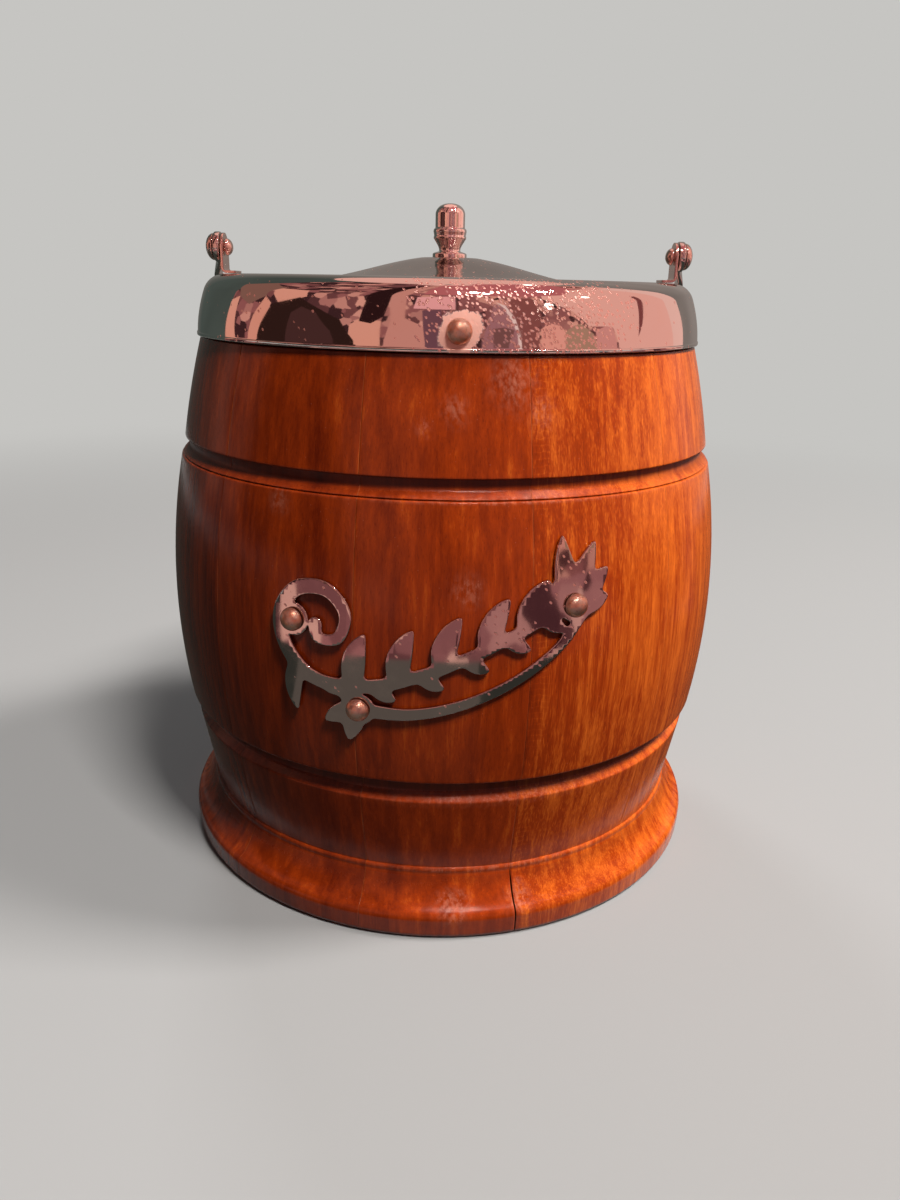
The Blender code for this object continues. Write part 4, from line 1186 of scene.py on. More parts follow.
@dataclass
class Knob:
    """The turned knob: domed cap, ring, cup, waist and flange on a stud. Heights are above the knob's base."""

    height: float = 14.5
    cap_radius: float = 4.3
    crown: float = 3.0
    ring_radius: float = 4.85
    ring_top: float = 7.5
    ring_low: float = 4.9
    waist: float = 1.75
    waist_radius: float = 3.1
    flange_top: float = 1.15
    flange_radius: float = 5.0
    stud_radius: float = 1.6
    seat_gap: float = 0.25             # the solids' gap under the flange, closed here
    steps: int = 72

    def cup(self, base: float, steps: int = 9) -> Outline:
        """The curve from the ring down to the waist.

        Args:
            base: height of the knob's base.
            steps: number of its points.

        Returns:
            The points, downward.
        """
        top = self.ring_radius - 0.3
        return [(
            top + (self.waist_radius - top) * math.sin(t * math.pi / 2) ** 1.35,
            base + self.ring_low + (self.waist - self.ring_low) * t,
        ) for t in np.linspace(0.1, 1.0, steps)]

    def build(self) -> None:
        """Make and dress the knob."""
        low, high = (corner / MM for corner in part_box("lid_knob"))
        base = high.z - self.height
        outline: Outline = [
            (0.0, high.z),
            *((self.cap_radius * math.sin(a) ** 0.86, high.z - self.crown * (1 - math.cos(a)))
              for a in np.radians(np.linspace(8, 90, 14))),
            (self.cap_radius, base + self.ring_top + 0.35, 0.2),
            (self.ring_radius - 0.1, base + self.ring_top + 0.05, 0.25),
            (self.ring_radius, base + self.ring_top - 0.6, 0.2),
            (self.ring_radius - 0.25, base + self.ring_low + 0.9, 0.25),
            (self.ring_radius - 0.05, base + self.ring_low + 0.45, 0.2),
            (self.ring_radius - 0.15, base + self.ring_low, 0.3),
            *self.cup(base),
            (self.waist_radius + 0.15, base + self.flange_top + 0.35, 0.3),
            (self.flange_radius - 0.5, base + self.flange_top, 0.4),
            (self.flange_radius, base + self.flange_top - 0.25, 0.3),
            (self.flange_radius, base - self.seat_gap, 0.15),
            (self.stud_radius, base - self.seat_gap, 0.1),
            (self.stud_radius, low.z + 0.4, 0.2),
            (self.stud_radius * 0.75, low.z, 0.1),
            (0.0, low.z),
        ]
        finish = ChromePlate(name="polished_chrome_plate", metal="#F4EAE6", pit_share=0.04, gloss=0.13)
        settle(spun("knob_finial", rounded(outline), self.steps), finish, Body.LID, Slot.CHROME, "lid_knob")
        self.dress_fasteners()

    def dress_fasteners(self) -> None:
        """Give the washer and the nut under the lid their finishes."""
        for name, finish in (("knob_washer", TurnedSteel()), ("knob_nut", WornBrass())):
            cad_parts[name].data.materials.clear()
            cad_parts[name].data.materials.append(finish.material())
            log.info("%s: new finish", name)


@dataclass
class HandleMounts:
    """The two bent lugs on the collar's land and the rivets through them."""

    thickness: float = 0.7
    bend_radius: float = 1.0
    hole_radius: float = 1.6
    shank_radius: float = 1.3
    inner_head: float = 2.4
    outer_head: float = 3.7
    solid_thickness: float = 0.8       # of the lug's solid
    eye_thickness: float = 1.9
    gap: float = 0.3
    edge_round: float = 0.18
    drill_reach: float = 5.0

    def lug(self, side: Side) -> bpy.types.Object:
        """A strip with a round top, bent where its foot meets the upright.

        Args:
            side: which lug.

        Returns:
            The lug.
        """
        low, high = (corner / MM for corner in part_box(f"lug_{side.name.lower()}"))
        half = (high.y - low.y) / 2
        foot_end, end = sorted((abs(low.x), abs(high.x)))
        middle = end - self.solid_thickness / 2
        floor = low.z + self.thickness / 2
        pivot = high.z - half
        bend = (middle - self.bend_radius, floor + self.bend_radius)
        path = [
            *bowed((foot_end, floor), (bend[0], floor), np.linspace(0, 1, 5)),
            *arc(bend, self.bend_radius, -90, 0, 6)[1:],
            *bowed((middle, bend[1]), (middle, pivot), np.linspace(0.1, 1, 8)),
            *arc((middle, pivot), 0.0, 8, 86, 13, half),
        ]
        bm = bmesh.new()
        rows = []
        for x, z in path:
            reach = half if z <= pivot else math.sqrt(max(half ** 2 - (z - pivot) ** 2, 0.04))
            rows.append([
                bm.verts.new((side.value * x * MM, t * reach * MM, z * MM)) for t in np.linspace(-1, 1, 11)
            ])
        skin(bm, rows)
        lug = add_object(f"lug_{side.name.lower()}_bent", bm, 60.0)
        modify(lug, "SOLIDIFY", thickness=self.thickness * MM, offset=0.0)
        drill = spun("drill", disc(self.hole_radius, self.drill_reach, -self.drill_reach), HOLE_STEPS)
        carve(lug, drill, across_x(side.value * middle, pivot), "DIFFERENCE")
        modify(lug, "BEVEL", width=self.edge_round * MM, segments=2, angle_limit=math.radians(50))
        smooth(lug.data, 50.0)
        return lug

    def rivet(self, side: Side) -> bpy.types.Object:
        """A rivet with a small inner head and a large outer dome, its axis along X.

        Args:
            side: which rivet.

        Returns:
            The rivet.
        """
        low, high = (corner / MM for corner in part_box(f"pivot_rivet_{side.name.lower()}"))
        near, far = sorted((abs(low.x), abs(high.x)))
        lug_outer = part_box("lug_right")[1].x / MM
        inner_base = lug_outer - self.solid_thickness - self.gap
        outer_base = lug_outer + self.eye_thickness + 2 * self.gap
        outline: Outline = [
            (0.0, far),
            *arc((0.0, outer_base), self.outer_head, 80, 6, 8, far - outer_base),
            (self.outer_head, outer_base, 0.25),
            (self.shank_radius, outer_base),
            (self.shank_radius, inner_base),
            (self.inner_head, inner_base, 0.2),
            *arc((0.0, inner_base), self.inner_head, -8, -80, 7, inner_base - near),
            (0.0, near),
        ]
        rivet = spun(f"rivet_{side.name.lower()}_domed", rounded(outline), SMALL_STEPS)
        turn = Matrix.Rotation(side.value * math.pi / 2, 4, "Y")
        rivet.data.transform(Matrix.Translation((0.0, 0.0, (low.z + high.z) / 2 * MM)) @ turn)
        return rivet

    def build(self) -> None:
        """Make and dress both sides."""
        finish = ChromePlate(name="rubbed_chrome_plate", metal="#E2CBC2", gloss=0.20, pit_share=0.02, wave_mm=5.0)
        for side in Side:
            name = side.name.lower()
            settle(self.lug(side), finish, Body.BARREL, Slot.CHROME, f"lug_{name}")
            settle(self.rivet(side), finish, Body.BARREL, Slot.CHROME, f"pivot_rivet_{name}")


@dataclass
class Bail:
    """The swing handle: a flat strip bent to a U, its eyes on the rivets."""

    reach: float = 106.7
    thickness: float = 1.5
    width: float = 5.0
    edge_round: float = 0.6
    eye_radius: float = 4.2
    eye_thickness: float = 1.9
    eye_round: float = 0.45
    eye_gap: float = 0.3
    hole_radius: float = 1.6
    joggle: float = 9.0
    drill_reach: float = 4.0

    def path(self, eye_middle: float, half_width: float) -> Outline:
        """Middle line of the strip in its own plane, from one eye round the crown to the other.

        Args:
            eye_middle: distance from the barrel's axis to the middle of an eye.
            half_width: half the handle's width at its sides.

        Returns:
            Points across and along the handle.
        """
        start = self.eye_radius * 0.6
        straight = self.reach - half_width
        side = bowed((eye_middle, 0.0), (eye_middle, start), (0.0, 0.5, 1.0))
        for t in np.linspace(0.07, 1.0, 14):
            ease = (1 - math.cos(math.pi * t)) / 2
            side.append((eye_middle + (half_width - eye_middle) * ease, start + self.joggle * t))
        side += bowed((half_width, start + self.joggle), (half_width, straight), np.linspace(0.15, 0.85, 5))
        crown = arc((0.0, straight), half_width, 0, 180, 72)
        return side + crown + [(-x, y) for x, y in reversed(side)]

    def section(self) -> Outline:
        """The strip's section: across its thickness and along its width."""
        signs = ((1, 1), (-1, 1), (-1, -1), (1, -1))
        return rounded([(self.thickness / 2 * a, self.width / 2 * b, self.edge_round) for a, b in signs])

    def build(self) -> None:
        """Make and dress the handle."""
        low, high = (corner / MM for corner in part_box("bail_handle"))
        pivot = high.z - self.eye_radius
        half_width = high.x - self.thickness / 2
        eye_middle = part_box("lug_right")[1].x / MM + self.eye_gap + self.eye_thickness / 2
        line = self.path(eye_middle, half_width)
        bm = bmesh.new()
        rings = []
        for i, (x, y) in enumerate(line):
            along = (Vector(line[min(i + 1, len(line) - 1)]) - Vector(line[max(i - 1, 0)])).normalized()
            rings.append([
                bm.verts.new(Vector((x + along.y * s, y - along.x * s, w)) * MM) for s, w in self.section()
            ])
        skin(bm, rings, closed=True)
        bm.faces.new(rings[0])
        bm.faces.new(list(reversed(rings[-1])))
        bail = add_object("bail_strip", bm)
        half = self.eye_thickness / 2
        for side in Side:
            place = across_x(side.value * eye_middle)
            eye = spun("eye", rounded(disc(self.eye_radius, half, -half, self.eye_round), 3), SMALL_STEPS)
            carve(bail, eye, place, "UNION")
            hole = spun("hole", disc(self.hole_radius, self.drill_reach, -self.drill_reach), HOLE_STEPS)
            carve(bail, hole, place, "DIFFERENCE")
        hang = Matrix.Rotation(-self.rest_angle(pivot - low.z), 4, "X")
        bail.data.transform(Matrix.Translation((0.0, 0.0, pivot * MM)) @ hang)
        smooth(bail.data, 40.0)
        finish = ChromePlate(name="handle_chrome_plate", gloss=0.08, pit_share=0.08, wave_mm=9.0)
        settle(bail, finish, Body.BAIL, Slot.CHROME, "bail_handle")

    def rest_angle(self, drop: float) -> float:
        """Angle below level at which the handle hangs.

        Args:
            drop: how far its solid reaches down below the pivot.

        Returns:
            The angle in radians whose crown reaches down as far.
        """
        least, most = 0.1, 1.4
        for _ in range(40):
            angle = (least + most) / 2
            depth = (self.reach + self.thickness / 2) * math.sin(angle) + self.width / 2 * math.cos(angle)
            least, most = (angle, most) if depth < drop else (least, angle)
        return least


@dataclass
class DomePins:
    """Dome-headed pins, each a little uneven from the hammer."""

    head_radius: float = 3.0
    dome: float = 2.5
    shank_radius: float = 0.8
    length: float = 7.5
    tip: float = 1.5
    unevenness: float = 0.07

    def pin(self, name: str, node: str, outward: Vector, seed: int) -> bpy.types.Object:
        """One pin, its head where its solid's head is.

        Args:
            name: name of the piece.
            node: the pin's solid.
            outward: direction that the head faces.
            seed: number that sets the dents.

        Returns:
            The pin.
        """
        outline: Outline = [
            (0.0, self.dome),
            *arc((0.0, 0.0), self.head_radius, 83, 8, 11, self.dome),
            (self.head_radius, 0.12, 0.15),
            (self.head_radius * 0.93, 0.0, 0.1),
            (self.shank_radius, 0.0),
            (self.shank_radius, self.tip - self.length),
            (0.0, -self.length),
        ]
        piece = spun(name, rounded(outline), SMALL_STEPS, 70.0)
        for vertex in piece.data.vertices:
            if vertex.co.z > 0.2 * MM:
                dent = noise.noise(vertex.co / MM * 0.7 + Vector((seed * 7.3, 0.0, 0.0)))
                vertex.co -= vertex.co.normalized() * abs(dent) * self.unevenness * MM
        turn = outward.to_track_quat("Z", "Y").to_matrix().to_4x4()
        crown = max((v.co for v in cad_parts[node].data.vertices), key=lambda co: co.dot(outward))
        piece.data.transform(Matrix.Translation(crown - outward * self.dome * MM) @ turn)
        return piece

    def axis(self, node: str) -> Vector:
        """Direction that a pin's head faces.

        Args:
            node: the pin's solid.

        Returns:
            The direction from the solid's tip to its crown.
        """
        points = [v.co.copy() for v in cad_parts[node].data.vertices]
        middle = sum(points, Vector()) / len(points)
        flat = Vector((middle.x, middle.y, 0.0)).normalized()
        tip, crown = (pick(points, key=lambda co: co.dot(flat)) for pick in (min, max))
        return (crown - tip).normalized()

    def build(self) -> None:
        """Make and dress every pin."""
        for group in ("collar_pin", "ornament_pin"):
            for i in (1, 2, 3):
                node = f"{group}_{i}"
                piece = self.pin(f"{node}_domed", node, self.axis(node), i + len(group))
                settle(piece, WornBrass(), Body.BARREL, Slot.BRASS, node)


@dataclass
class Ornament:
    """The pierced spray of leaves and scrolls: a flat plate with soft edges, bent to the belly."""

    middle_height: float = 86.0
    lift: float = 0.3
    thickness: float = 0.9
    edge: float = 0.22
    grid: float = 0.3
    step: float = 0.55
    fillet: float = 0.5
    fold: float = 1.2
    margin: float = 4.0
    boss: float = 4.3
    hole: float = 1.1
    pins: tuple[Point, ...] = ((-37.6, 4.1), (32.7, 9.6), (-20.4, -17.2))
    lines: tuple[tuple[tuple[Place, ...], int], ...] = (
        (((-27.0, -12.0, 1.9), (-14.0, -10.0, 1.7), (0.0, -5.0, 1.5), (14.0, 1.5, 1.4), (25.0, 7.0, 1.4),
          (32.7, 9.6, 1.6)), 12),
        (((-24.0, -12.2, 1.8), (-34.0, -9.5, 2.0), (-40.2, -2.5, 2.1), (-41.3, 5.5, 2.1), (-36.5, 12.0, 2.0),
          (-28.5, 12.6, 1.8), (-23.6, 7.2, 1.6), (-25.4, 0.9, 1.5), (-30.6, 0.4, 1.5), (-31.4, 3.6, 1.9)), 12),
        (((-20.4, -17.2, 2.0), (-8.0, -17.6, 1.6), (5.0, -14.6, 1.4), (18.0, -8.6, 1.3), (29.0, -0.5, 1.3),
          (34.6, 7.0, 1.6)), 14),
        (((-24.5, -12.2, 1.6), (-20.4, -17.2, 2.0)), 6),
    )                                  # stem, scroll, tendril and link: across, up and half width, points a stretch
    rows: tuple[tuple[float, ...], ...] = (
        (6, 0.10, 0.76, 98, -4, 14.5, -0.3, 2.7, -40),
        (5, 0.18, 0.62, -48, 0, 6.4, 0.0, 1.6, 34),
    )                                  # leaves on the stem: how many, where and over what share of it, heading and
    #                                    its change, length and its change, half width and bend
    fan: tuple[Place, ...] = ((114, 17.5, -26), (76, 16.0, -14), (40, 12.5, 4), (-2, 9.5, 22))
    curls: tuple[Place, ...] = ((-112, 9.5, 12), (-164, 10.0, 22))     # heading, length and bend, as in the fan

    @staticmethod
    def smooth_line(points: Sequence[Place], count: int) -> np.ndarray:
        """A smooth curve through a few chosen points.

        Args:
            points: across, up and half width of each point.
            count: points for each stretch.

        Returns:
            Across, up and half width along the curve.
        """
        knots = np.array([points[0], *points, points[-1]], dtype=float)
        line = []
        for i in range(1, len(knots) - 2):
            a, b, c, d = knots[i - 1:i + 3]
            for t in np.linspace(0.0, 1.0, count, endpoint=False):
                line.append(0.5 * (
                    2 * b + (c - a) * t + (2 * a - 5 * b + 4 * c - d) * t ** 2 + (3 * b - a - 3 * c + d) * t ** 3
                ))
        line.append(knots[-1])
        return np.array(line)

    @staticmethod
    def leaf(root: Sequence[float], heading: float, length: float, width: float, bend: float) -> np.ndarray:
        """A lens-shaped leaf that curves as it grows.

        Args:
            root: where the leaf starts.
            heading: direction at the root.
            length: length along the leaf.
            width: half width at its widest.
            bend: how far it turns from root to tip.

        Returns:
            Across, up and half width along the leaf.
        """
        line = []
        position = np.array(root, dtype=float)
        steps = 28
        for i in range(steps + 1):
            t = i / steps
            line.append((*position, width * math.sin(math.pi * t ** 0.75) ** 0.8 + 0.35 * (1 - t) + 0.15))
            angle = math.radians(heading + bend * t)
            position = position + length / steps * np.array((math.cos(angle), math.sin(angle)))
        return np.array(line)

    def strokes(self) -> list[np.ndarray]:
        """The spray's lines, and its leaves on both sides of the stem, at two pins and on the scroll.

        Returns:
            Across, up and half width along each stroke, the stem first.
        """
        strokes = [self.smooth_line(points, count) for points, count in self.lines]
        stem = strokes[0]
        for count, share, spread, heading, veer, length, growth, width, bend in self.rows:
            for i in range(count):
                root = stem[int((share + spread * i / (count - 1)) * (len(stem) - 1))]
                strokes.append(self.leaf(root[:2], heading + veer * i, length + growth * i, width, bend))
        for pin, width, leaves in ((self.pins[1], 2.6, self.fan), (self.pins[2], 2.3, self.curls)):
            strokes += [self.leaf(pin, heading, length, width, bend) for heading, length, bend in leaves]
        strokes.append(self.leaf((-36.5, -7.0), -112, 13.5, 2.2, 40))
        return strokes

    def field(self) -> tuple[np.ndarray, np.ndarray, np.ndarray]:
        """Signed distance to the spray on a flat grid, negative inside.

        Returns:
            The distances, and the grid's places across and up.
        """
        strokes = self.strokes()
        every = np.concatenate(strokes)[:, :2]
        low, high = every.min(axis=0) - self.margin, every.max(axis=0) + self.margin
        across, up = (np.arange(low[k], high[k], self.grid) for k in (0, 1))
        grid_across, grid_up = np.meshgrid(across, up)
        blend = np.zeros_like(grid_across)
        for stroke in strokes:
            nearest = np.full_like(grid_across, np.inf)
            for (x, y, width), (next_x, next_y, next_width) in zip(stroke, stroke[1:]):
                run_x, run_y = next_x - x, next_y - y
                along = (grid_across - x) * run_x + (grid_up - y) * run_y
                t = np.clip(along / max(run_x ** 2 + run_y ** 2, TINY), 0.0, 1.0)
                away = np.hypot(grid_across - x - t * run_x, grid_up - y - t * run_y)
                nearest = np.minimum(nearest, away - width - (next_width - width) * t)
            blend += np.exp(-nearest / self.fillet)
        field = -self.fillet * np.log(np.maximum(blend, 1e-12))
        for x, y in self.pins:
            distance = np.hypot(grid_across - x, grid_up - y)
            field = np.maximum(np.minimum(field, distance - self.boss), self.hole - distance)
        return field, across, up

    @staticmethod
    def cell_links(field: np.ndarray, row: int, column: int) -> list[tuple]:
        """Pairs of grid edges that an outline joins inside one cell.

        Args:
            field: signed distances.
            row: the cell's row.
            column: the cell's column.

        Returns:
            Pairs of edges, each edge as its two grid points.
        """
        corners = [(row, column), (row, column + 1), (row + 1, column + 1), (row + 1, column)]
        sides = zip(corners, corners[1:] + corners[:1])
        crossed = [(min(a, b), max(a, b)) for a, b in sides if (field[a] < 0) != (field[b] < 0)]
        if len(crossed) == 4 and (sum(field[c] for c in corners) < 0) == (field[corners[0]] < 0):
            crossed = crossed[1:] + crossed[:1]
        return list(zip(crossed[::2], crossed[1::2]))

    def loops(self) -> list[np.ndarray]:
        """Closed outlines where the field passes through zero.

        Returns:
            The outlines, their points at even distances.
        """
        field, across, up = self.field()
        inside = field < 0
        cells = inside[:-1, :-1].astype(int) + inside[1:, :-1] + inside[:-1, 1:] + inside[1:, 1:]
        links: dict[tuple, list[tuple]] = {}
        for row, column in np.argwhere((cells > 0) & (cells < 4)).tolist():
            for a, b in self.cell_links(field, row, column):
                links.setdefault(a, []).append(b)
                links.setdefault(b, []).append(a)
        result = []
        while links:
            start = next(iter(links))
            loop = [start]
            following = links.pop(start)[0]
            while following != start:
                options = links.pop(following)
                loop.append(following)
                following = options[0] if options[0] != loop[-2] else options[1]
            points = []
            for a, b in loop:
                t = field[a] / (field[a] - field[b])
                x = across[a[1]] + t * (across[b[1]] - across[a[1]])
                points.append((x, up[a[0]] + t * (up[b[0]] - up[a[0]])))
            result.append(self.even_steps(np.array(points)))
        return result

    def even_steps(self, loop: np.ndarray) -> np.ndarray:
        """A closed outline with its points at even distances.

        Args:
            loop: the outline's points.

        Returns:
            Points a step apart.
        """
        closed = np.vstack([loop, loop[:1]])
        length = np.concatenate([[0.0], np.cumsum(np.hypot(*np.diff(closed, axis=0).T))])
        count = max(12, round(length[-1] / self.step))
        stops = np.linspace(0.0, length[-1], count, endpoint=False)
        even = np.stack([np.interp(stops, length, closed[:, k]) for k in (0, 1)], axis=1)
        return (np.roll(even, 1, axis=0) + 2 * even + np.roll(even, -1, axis=0)) / 4

    def flat_plate(self, loops: list[np.ndarray]) -> bpy.types.Object:
        """The spray as a flat plate with softened edges.

        Args:
            loops: the plate's outlines.

        Returns:
            The plate, in metres, about the drawing's origin.
        """
        curve = bpy.data.curves.new("spray", "CURVE")
        curve.dimensions = "2D"
        curve.fill_mode = "BOTH"
        curve.extrude = (self.thickness / 2 - self.edge) * MM
        curve.bevel_depth = self.edge * MM
        curve.bevel_resolution = 2
        curve.offset = -self.edge * MM
        for loop in loops:
            spline = curve.splines.new("POLY")
            spline.points.add(len(loop) - 1)
            for target, (x, y) in zip(spline.points, loop):
                target.co = (x * MM, y * MM, 0.0, 1.0)
            spline.use_cyclic_u = True
        drawn = link("spray", curve)
        bm = bmesh.new()
        bm.from_mesh(result_of(drawn))
        bpy.data.objects.remove(drawn)
        bmesh.ops.remove_doubles(bm, verts=bm.verts, dist=0.002 * MM)
        return add_object("ornament_spray", bm)

    def build(self) -> None:
        """Make and dress the plate."""
        loops = self.loops()
        plate = self.flat_plate(loops)
        bm = bmesh.new()
        bm.from_mesh(plate.data)
        first = min(loop[:, 0].min() for loop in loops)
        last = max(loop[:, 0].max() for loop in loops)
        cut_across(bm, Vector((1.0, 0.0, 0.0)), np.arange(first + self.fold, last, self.fold) * MM)
        body = StaveBody()
        for vertex in bm.verts:
            across, up, out = vertex.co / MM
            height = self.middle_height + up
            radius = body.radius_at(height) + self.lift + self.thickness / 2 + out
            vertex.co = on_front(radius, across / body.belly_radius, height)
        bm.to_mesh(plate.data)
        bm.free()
        smooth(plate.data, 32.0)
        finish = ChromePlate(
            name="ornament_chrome_plate", metal="#BFB2AE", gloss=0.07, pit_share=0.06, wave_mm=11.0,
            wave_depth_mm=0.07, cluster=(30.0, -78.0, 95.0),
        )
        settle(plate, finish, Body.BARREL, Slot.CHROME, "ornament_plate")


@dataclass
class Studio:
    """Pale floor and backdrop, dim cards for the metal, soft lamps and the camera. Lengths are metres here."""

    floor_radius: float = 0.9
    floor_thickness: float = 0.002
    wall_radius: float = 2.2
    wall_height: float = 2.6
    wall_curve: float = 0.6
    wall_thickness: float = 0.005
    steps: int = 96
    world: str = "#D9D6D2"
    world_strength: float = 0.12
    lamps: tuple[tuple[str, float, float, float, str], ...] = (
        ("side", 88.0, 52.0, 1.40, "#FFF9F3"),
        ("high_front", 38.0, 57.0, 1.62, "#FFF9F3"),
        ("behind", -160.0, 40.0, 0.35, "#FFFFFF"),
    )                                  # name, azimuth from the front, elevation, level and tint
    lamp_distance: float = 2.3
    lamp_size: float = 0.5
    aim_height: float = 0.09
    card_middle: float = 0.16
    dome_distance: float = 0.85
    card_distance: float = 0.80        # of the first plain card
    card_closer: float = 0.006         # how much closer each next one is
    plain_cards: tuple[tuple[str, tuple[Point, ...]], ...] = (
        ("#C96F70", ((-12, 42), (8, 40), (40, 38), (60, 42), (100, 60), (130, 66), (130, 84), (-12, 84))),
        ("#FFBAAB", ((50, 28), (43, 33), (46, 41), (58, 42), (79, 56), (121, 54), (122, 36), (121, 18), (120, -4),
                     (76, -4), (73, 13), (69, 14), (61, 15), (58, 20), (55, 25))),
        ("#FFC9BC", ((113, -6), (111, 30), (107, 50), (120, 48), (124, 28), (123, -6))),
        ("#DC9486", ((-27, -4), (-24, 20), (-27, 36), (-24, 75), (-12, 75), (-19, 36), (-18, 22), (-8, 16), (-5, -4))),
        ("#F1A690", ((-40, -4), (-41, 15), (-37, 20), (-28, 19), (-27, -4))),
        ("#F1A690", ((-109, -5), (-110, 14), (-105, 17), (-100, -5))),
        ("#EDA08A", ((-93, -5), (-91, 12), (-88, 22), (-83, 20), (-84, 9), (-87, -5))),
        ("#F1A690", ((-84, 24), (-91, 36), (-70, 36), (-66, 27), (-79, 21))),
        ("#8E6458", ((-105, 17), (-118, 31), (-110, 44), (-88, 38), (-88, 22), (-96, 16))),
        ("#35201C", ((-87, -8), (-85, 9), (-82, 20), (-69, 26), (-56, 22), (-46, 18), (-37, 3), (-37, -8))),
        ("#4E302E", ((-70, -3), (-70, 18), (-66, 22), (-58, 20), (-49, 10), (-45, -2))),
        ("#31191A", ((-37, 18), (-37, 75), (-26, 75), (-26, 32), (-27, 22), (-32, 17))),
        ("#FFB0AE", ((-15, 28), (-14, 35), (3, 37), (3, 28))),
        ("#7A4F58", ((-11, 27), (-3, 28), (-1, -4), (-8, -4))),
        ("#B17679", ((12, -4), (15, 15), (20, 31), (26, 30), (28, 18), (29, -4))),
        ("#955550", ((29, -4), (28, 15), (26, 29), (28, 33), (38, 34), (40, 24), (37, 15), (37, -4))),
        ("#845552", ((18, 16), (23, 17), (27, 15), (24, 4), (18, 5))),
        ("#FFD8D0", ((21, 32), (25, 30), (28, 23), (29, 13), (30, -4), (28, -4), (28, 13), (26, 22), (24, 29))),
        ("#FAA998", ((37, -4), (38, 15), (42, 19), (47, 17), (49, 13), (48, -4))),
        ("#BC8F78", ((48, -4), (49, 13), (53, 16), (57, 17), (62, 10), (63, -4))),
        ("#E69A91", ((63, -4), (63, 12), (69, 14), (72, 13), (74, -4))),
        ("#8A4A48", ((97, 30), (95, 20), (90, 12), (86, 6), (88, 13), (92, 22), (93, 30))),
    )                                  # tone, then azimuth and elevation of each corner, as seen from the collar
    dome_rises: tuple[int, ...] = (-9, 0, 10, 20, 30, 40, 50, 60, 70, 80, 89)
    card_turns: int = 72               # steps round the dome and along a low card
    fold_limit: int = 132              # azimuth of the last fold on each side
    card_step: int = 6                 # degrees between the folds that let a card follow its sphere
    low_rows: tuple[Point, ...] = ((0.09, 0.002), (0.30, 0.002), (0.84, 0.003))
    low_tone: str = "#3E403B"
    low_left: tuple[Point, ...] = ((0.12, 0.0035), (0.30, 0.0035))
    low_left_tone: str = "#6C665F"
    near_rows: tuple[Point, ...] = ((0.30, 0.003), (0.33, 0.03), (0.36, 0.08))
    glints: tuple[Place, ...] = ((14.0, 52.0, 380.0), (58.0, 55.0, 160.0))
    glint_distance: float = 0.70
    glint_size: float = 0.03
    bulbs: tuple[Point, ...] = ((19.0, 47.0), (118.0, 69.0), (44.0, 28.0), (66.0, 34.0))
    bulb_distance: float = 0.60
    bulb_radius: float = 0.018
    bulb_watts: float = 0.08
    spark_tint: str = "#FFF3E6"        # of the glints and the bulbs
    camera_range: Point = (0.01, 50.0)
    camera_place: Place = (0.0, -0.283501, 0.167595)
    camera_yaw: float = 0.00828        # radians, as the next two
    camera_pitch: float = 0.33467
    camera_roll: float = 0.02202
    focal_pixels: float = 901.0
    image_height: float = 1200.0
    sensor_mm: float = 36.0

    def floor(self) -> None:
        """A disc to stand on, and a wall that curves up behind it on every side."""
        floor, wall, curve = self.floor_radius / MM, self.wall_radius / MM, self.wall_curve / MM
        thick = self.wall_thickness / MM
        outline = [(floor, 0.0), *arc((wall - curve, curve), curve, -90, 0, 16), (wall, self.wall_height / MM)]
        outline += [(r + thick, z - thick) for r, z in reversed(outline)]
        ground = spun("floor", disc(floor, 0.0, -self.floor_thickness / MM), self.steps)
        backdrop = spun("backdrop", outline, self.steps)
        backdrop.visible_diffuse = False
        backdrop.visible_shadow = False
        for piece in (ground, backdrop):
            piece.data.materials.append(PaleFloor().material())

    def seen(self, turn: float, rise: float, distance: float) -> Vector:
        """A place as seen from the collar.

        Args:
            turn: azimuth from the front, in degrees.
            rise: elevation, in degrees.
            distance: how far off it is.

        Returns:
            The place.
        """
        ahead, up = math.radians(turn), math.radians(rise)
        flat = distance * math.cos(up)
        return Vector((flat * math.sin(ahead), -flat * math.cos(ahead), self.card_middle + distance * math.sin(up)))

    def card(self, name: str, bm: bmesh.types.BMesh, finish: Finish) -> None:
        """A card that only mirrors see.

        Args:
            name: the card's name.
            bm: the mesh under construction.
            finish: its finish.
        """
        card = add_object(name, bm)
        card.data.materials.append(finish.material())
        for ray in ("camera", "diffuse", "transmission", "shadow", "volume_scatter"):
            setattr(card, "visible_" + ray, False)

    def cards(self) -> None:
        """A dome of dim patches, cards low down round the barrel and the plain cards."""
        bm = bmesh.new()
        turns = np.linspace(-180, 180, self.card_turns + 1)[:-1]
        skin(bm, [
            [bm.verts.new(self.seen(turn, rise, self.dome_distance)) for turn in turns]
            for rise in self.dome_rises
        ], closed=True)
        self.card("card_dome", bm, DimCards())
        front = DimCards(name="low_front_cards", dark="#5A3438", mauve="#B87878", rose="#FFC4B4")
        self.ring_card("card_on_floor", self.low_rows, (-180, 180), PlainCard("low_card", self.low_tone))
        self.ring_card("card_low_left", self.low_left, (-48, 12), PlainCard("low_left_card", self.low_left_tone))
        self.ring_card("card_low_front", self.near_rows, (-60, 110), front)
        for i, (tone, corners) in enumerate(self.plain_cards):
            bm = bmesh.new()
            bm.faces.new([bm.verts.new((*corner, 0.0)) for corner in corners])
            for axis in (Vector((1.0, 0.0, 0.0)), Vector((0.0, 1.0, 0.0))):
                cut_across(bm, axis, range(-self.fold_limit, self.fold_limit + 1, self.card_step))
            for vertex in bm.verts:
                vertex.co = self.seen(vertex.co.x, vertex.co.y, self.card_distance - self.card_closer * i)
            self.card(f"card_{i + 1}", bm, PlainCard(f"card_tone_{i + 1}", tone))

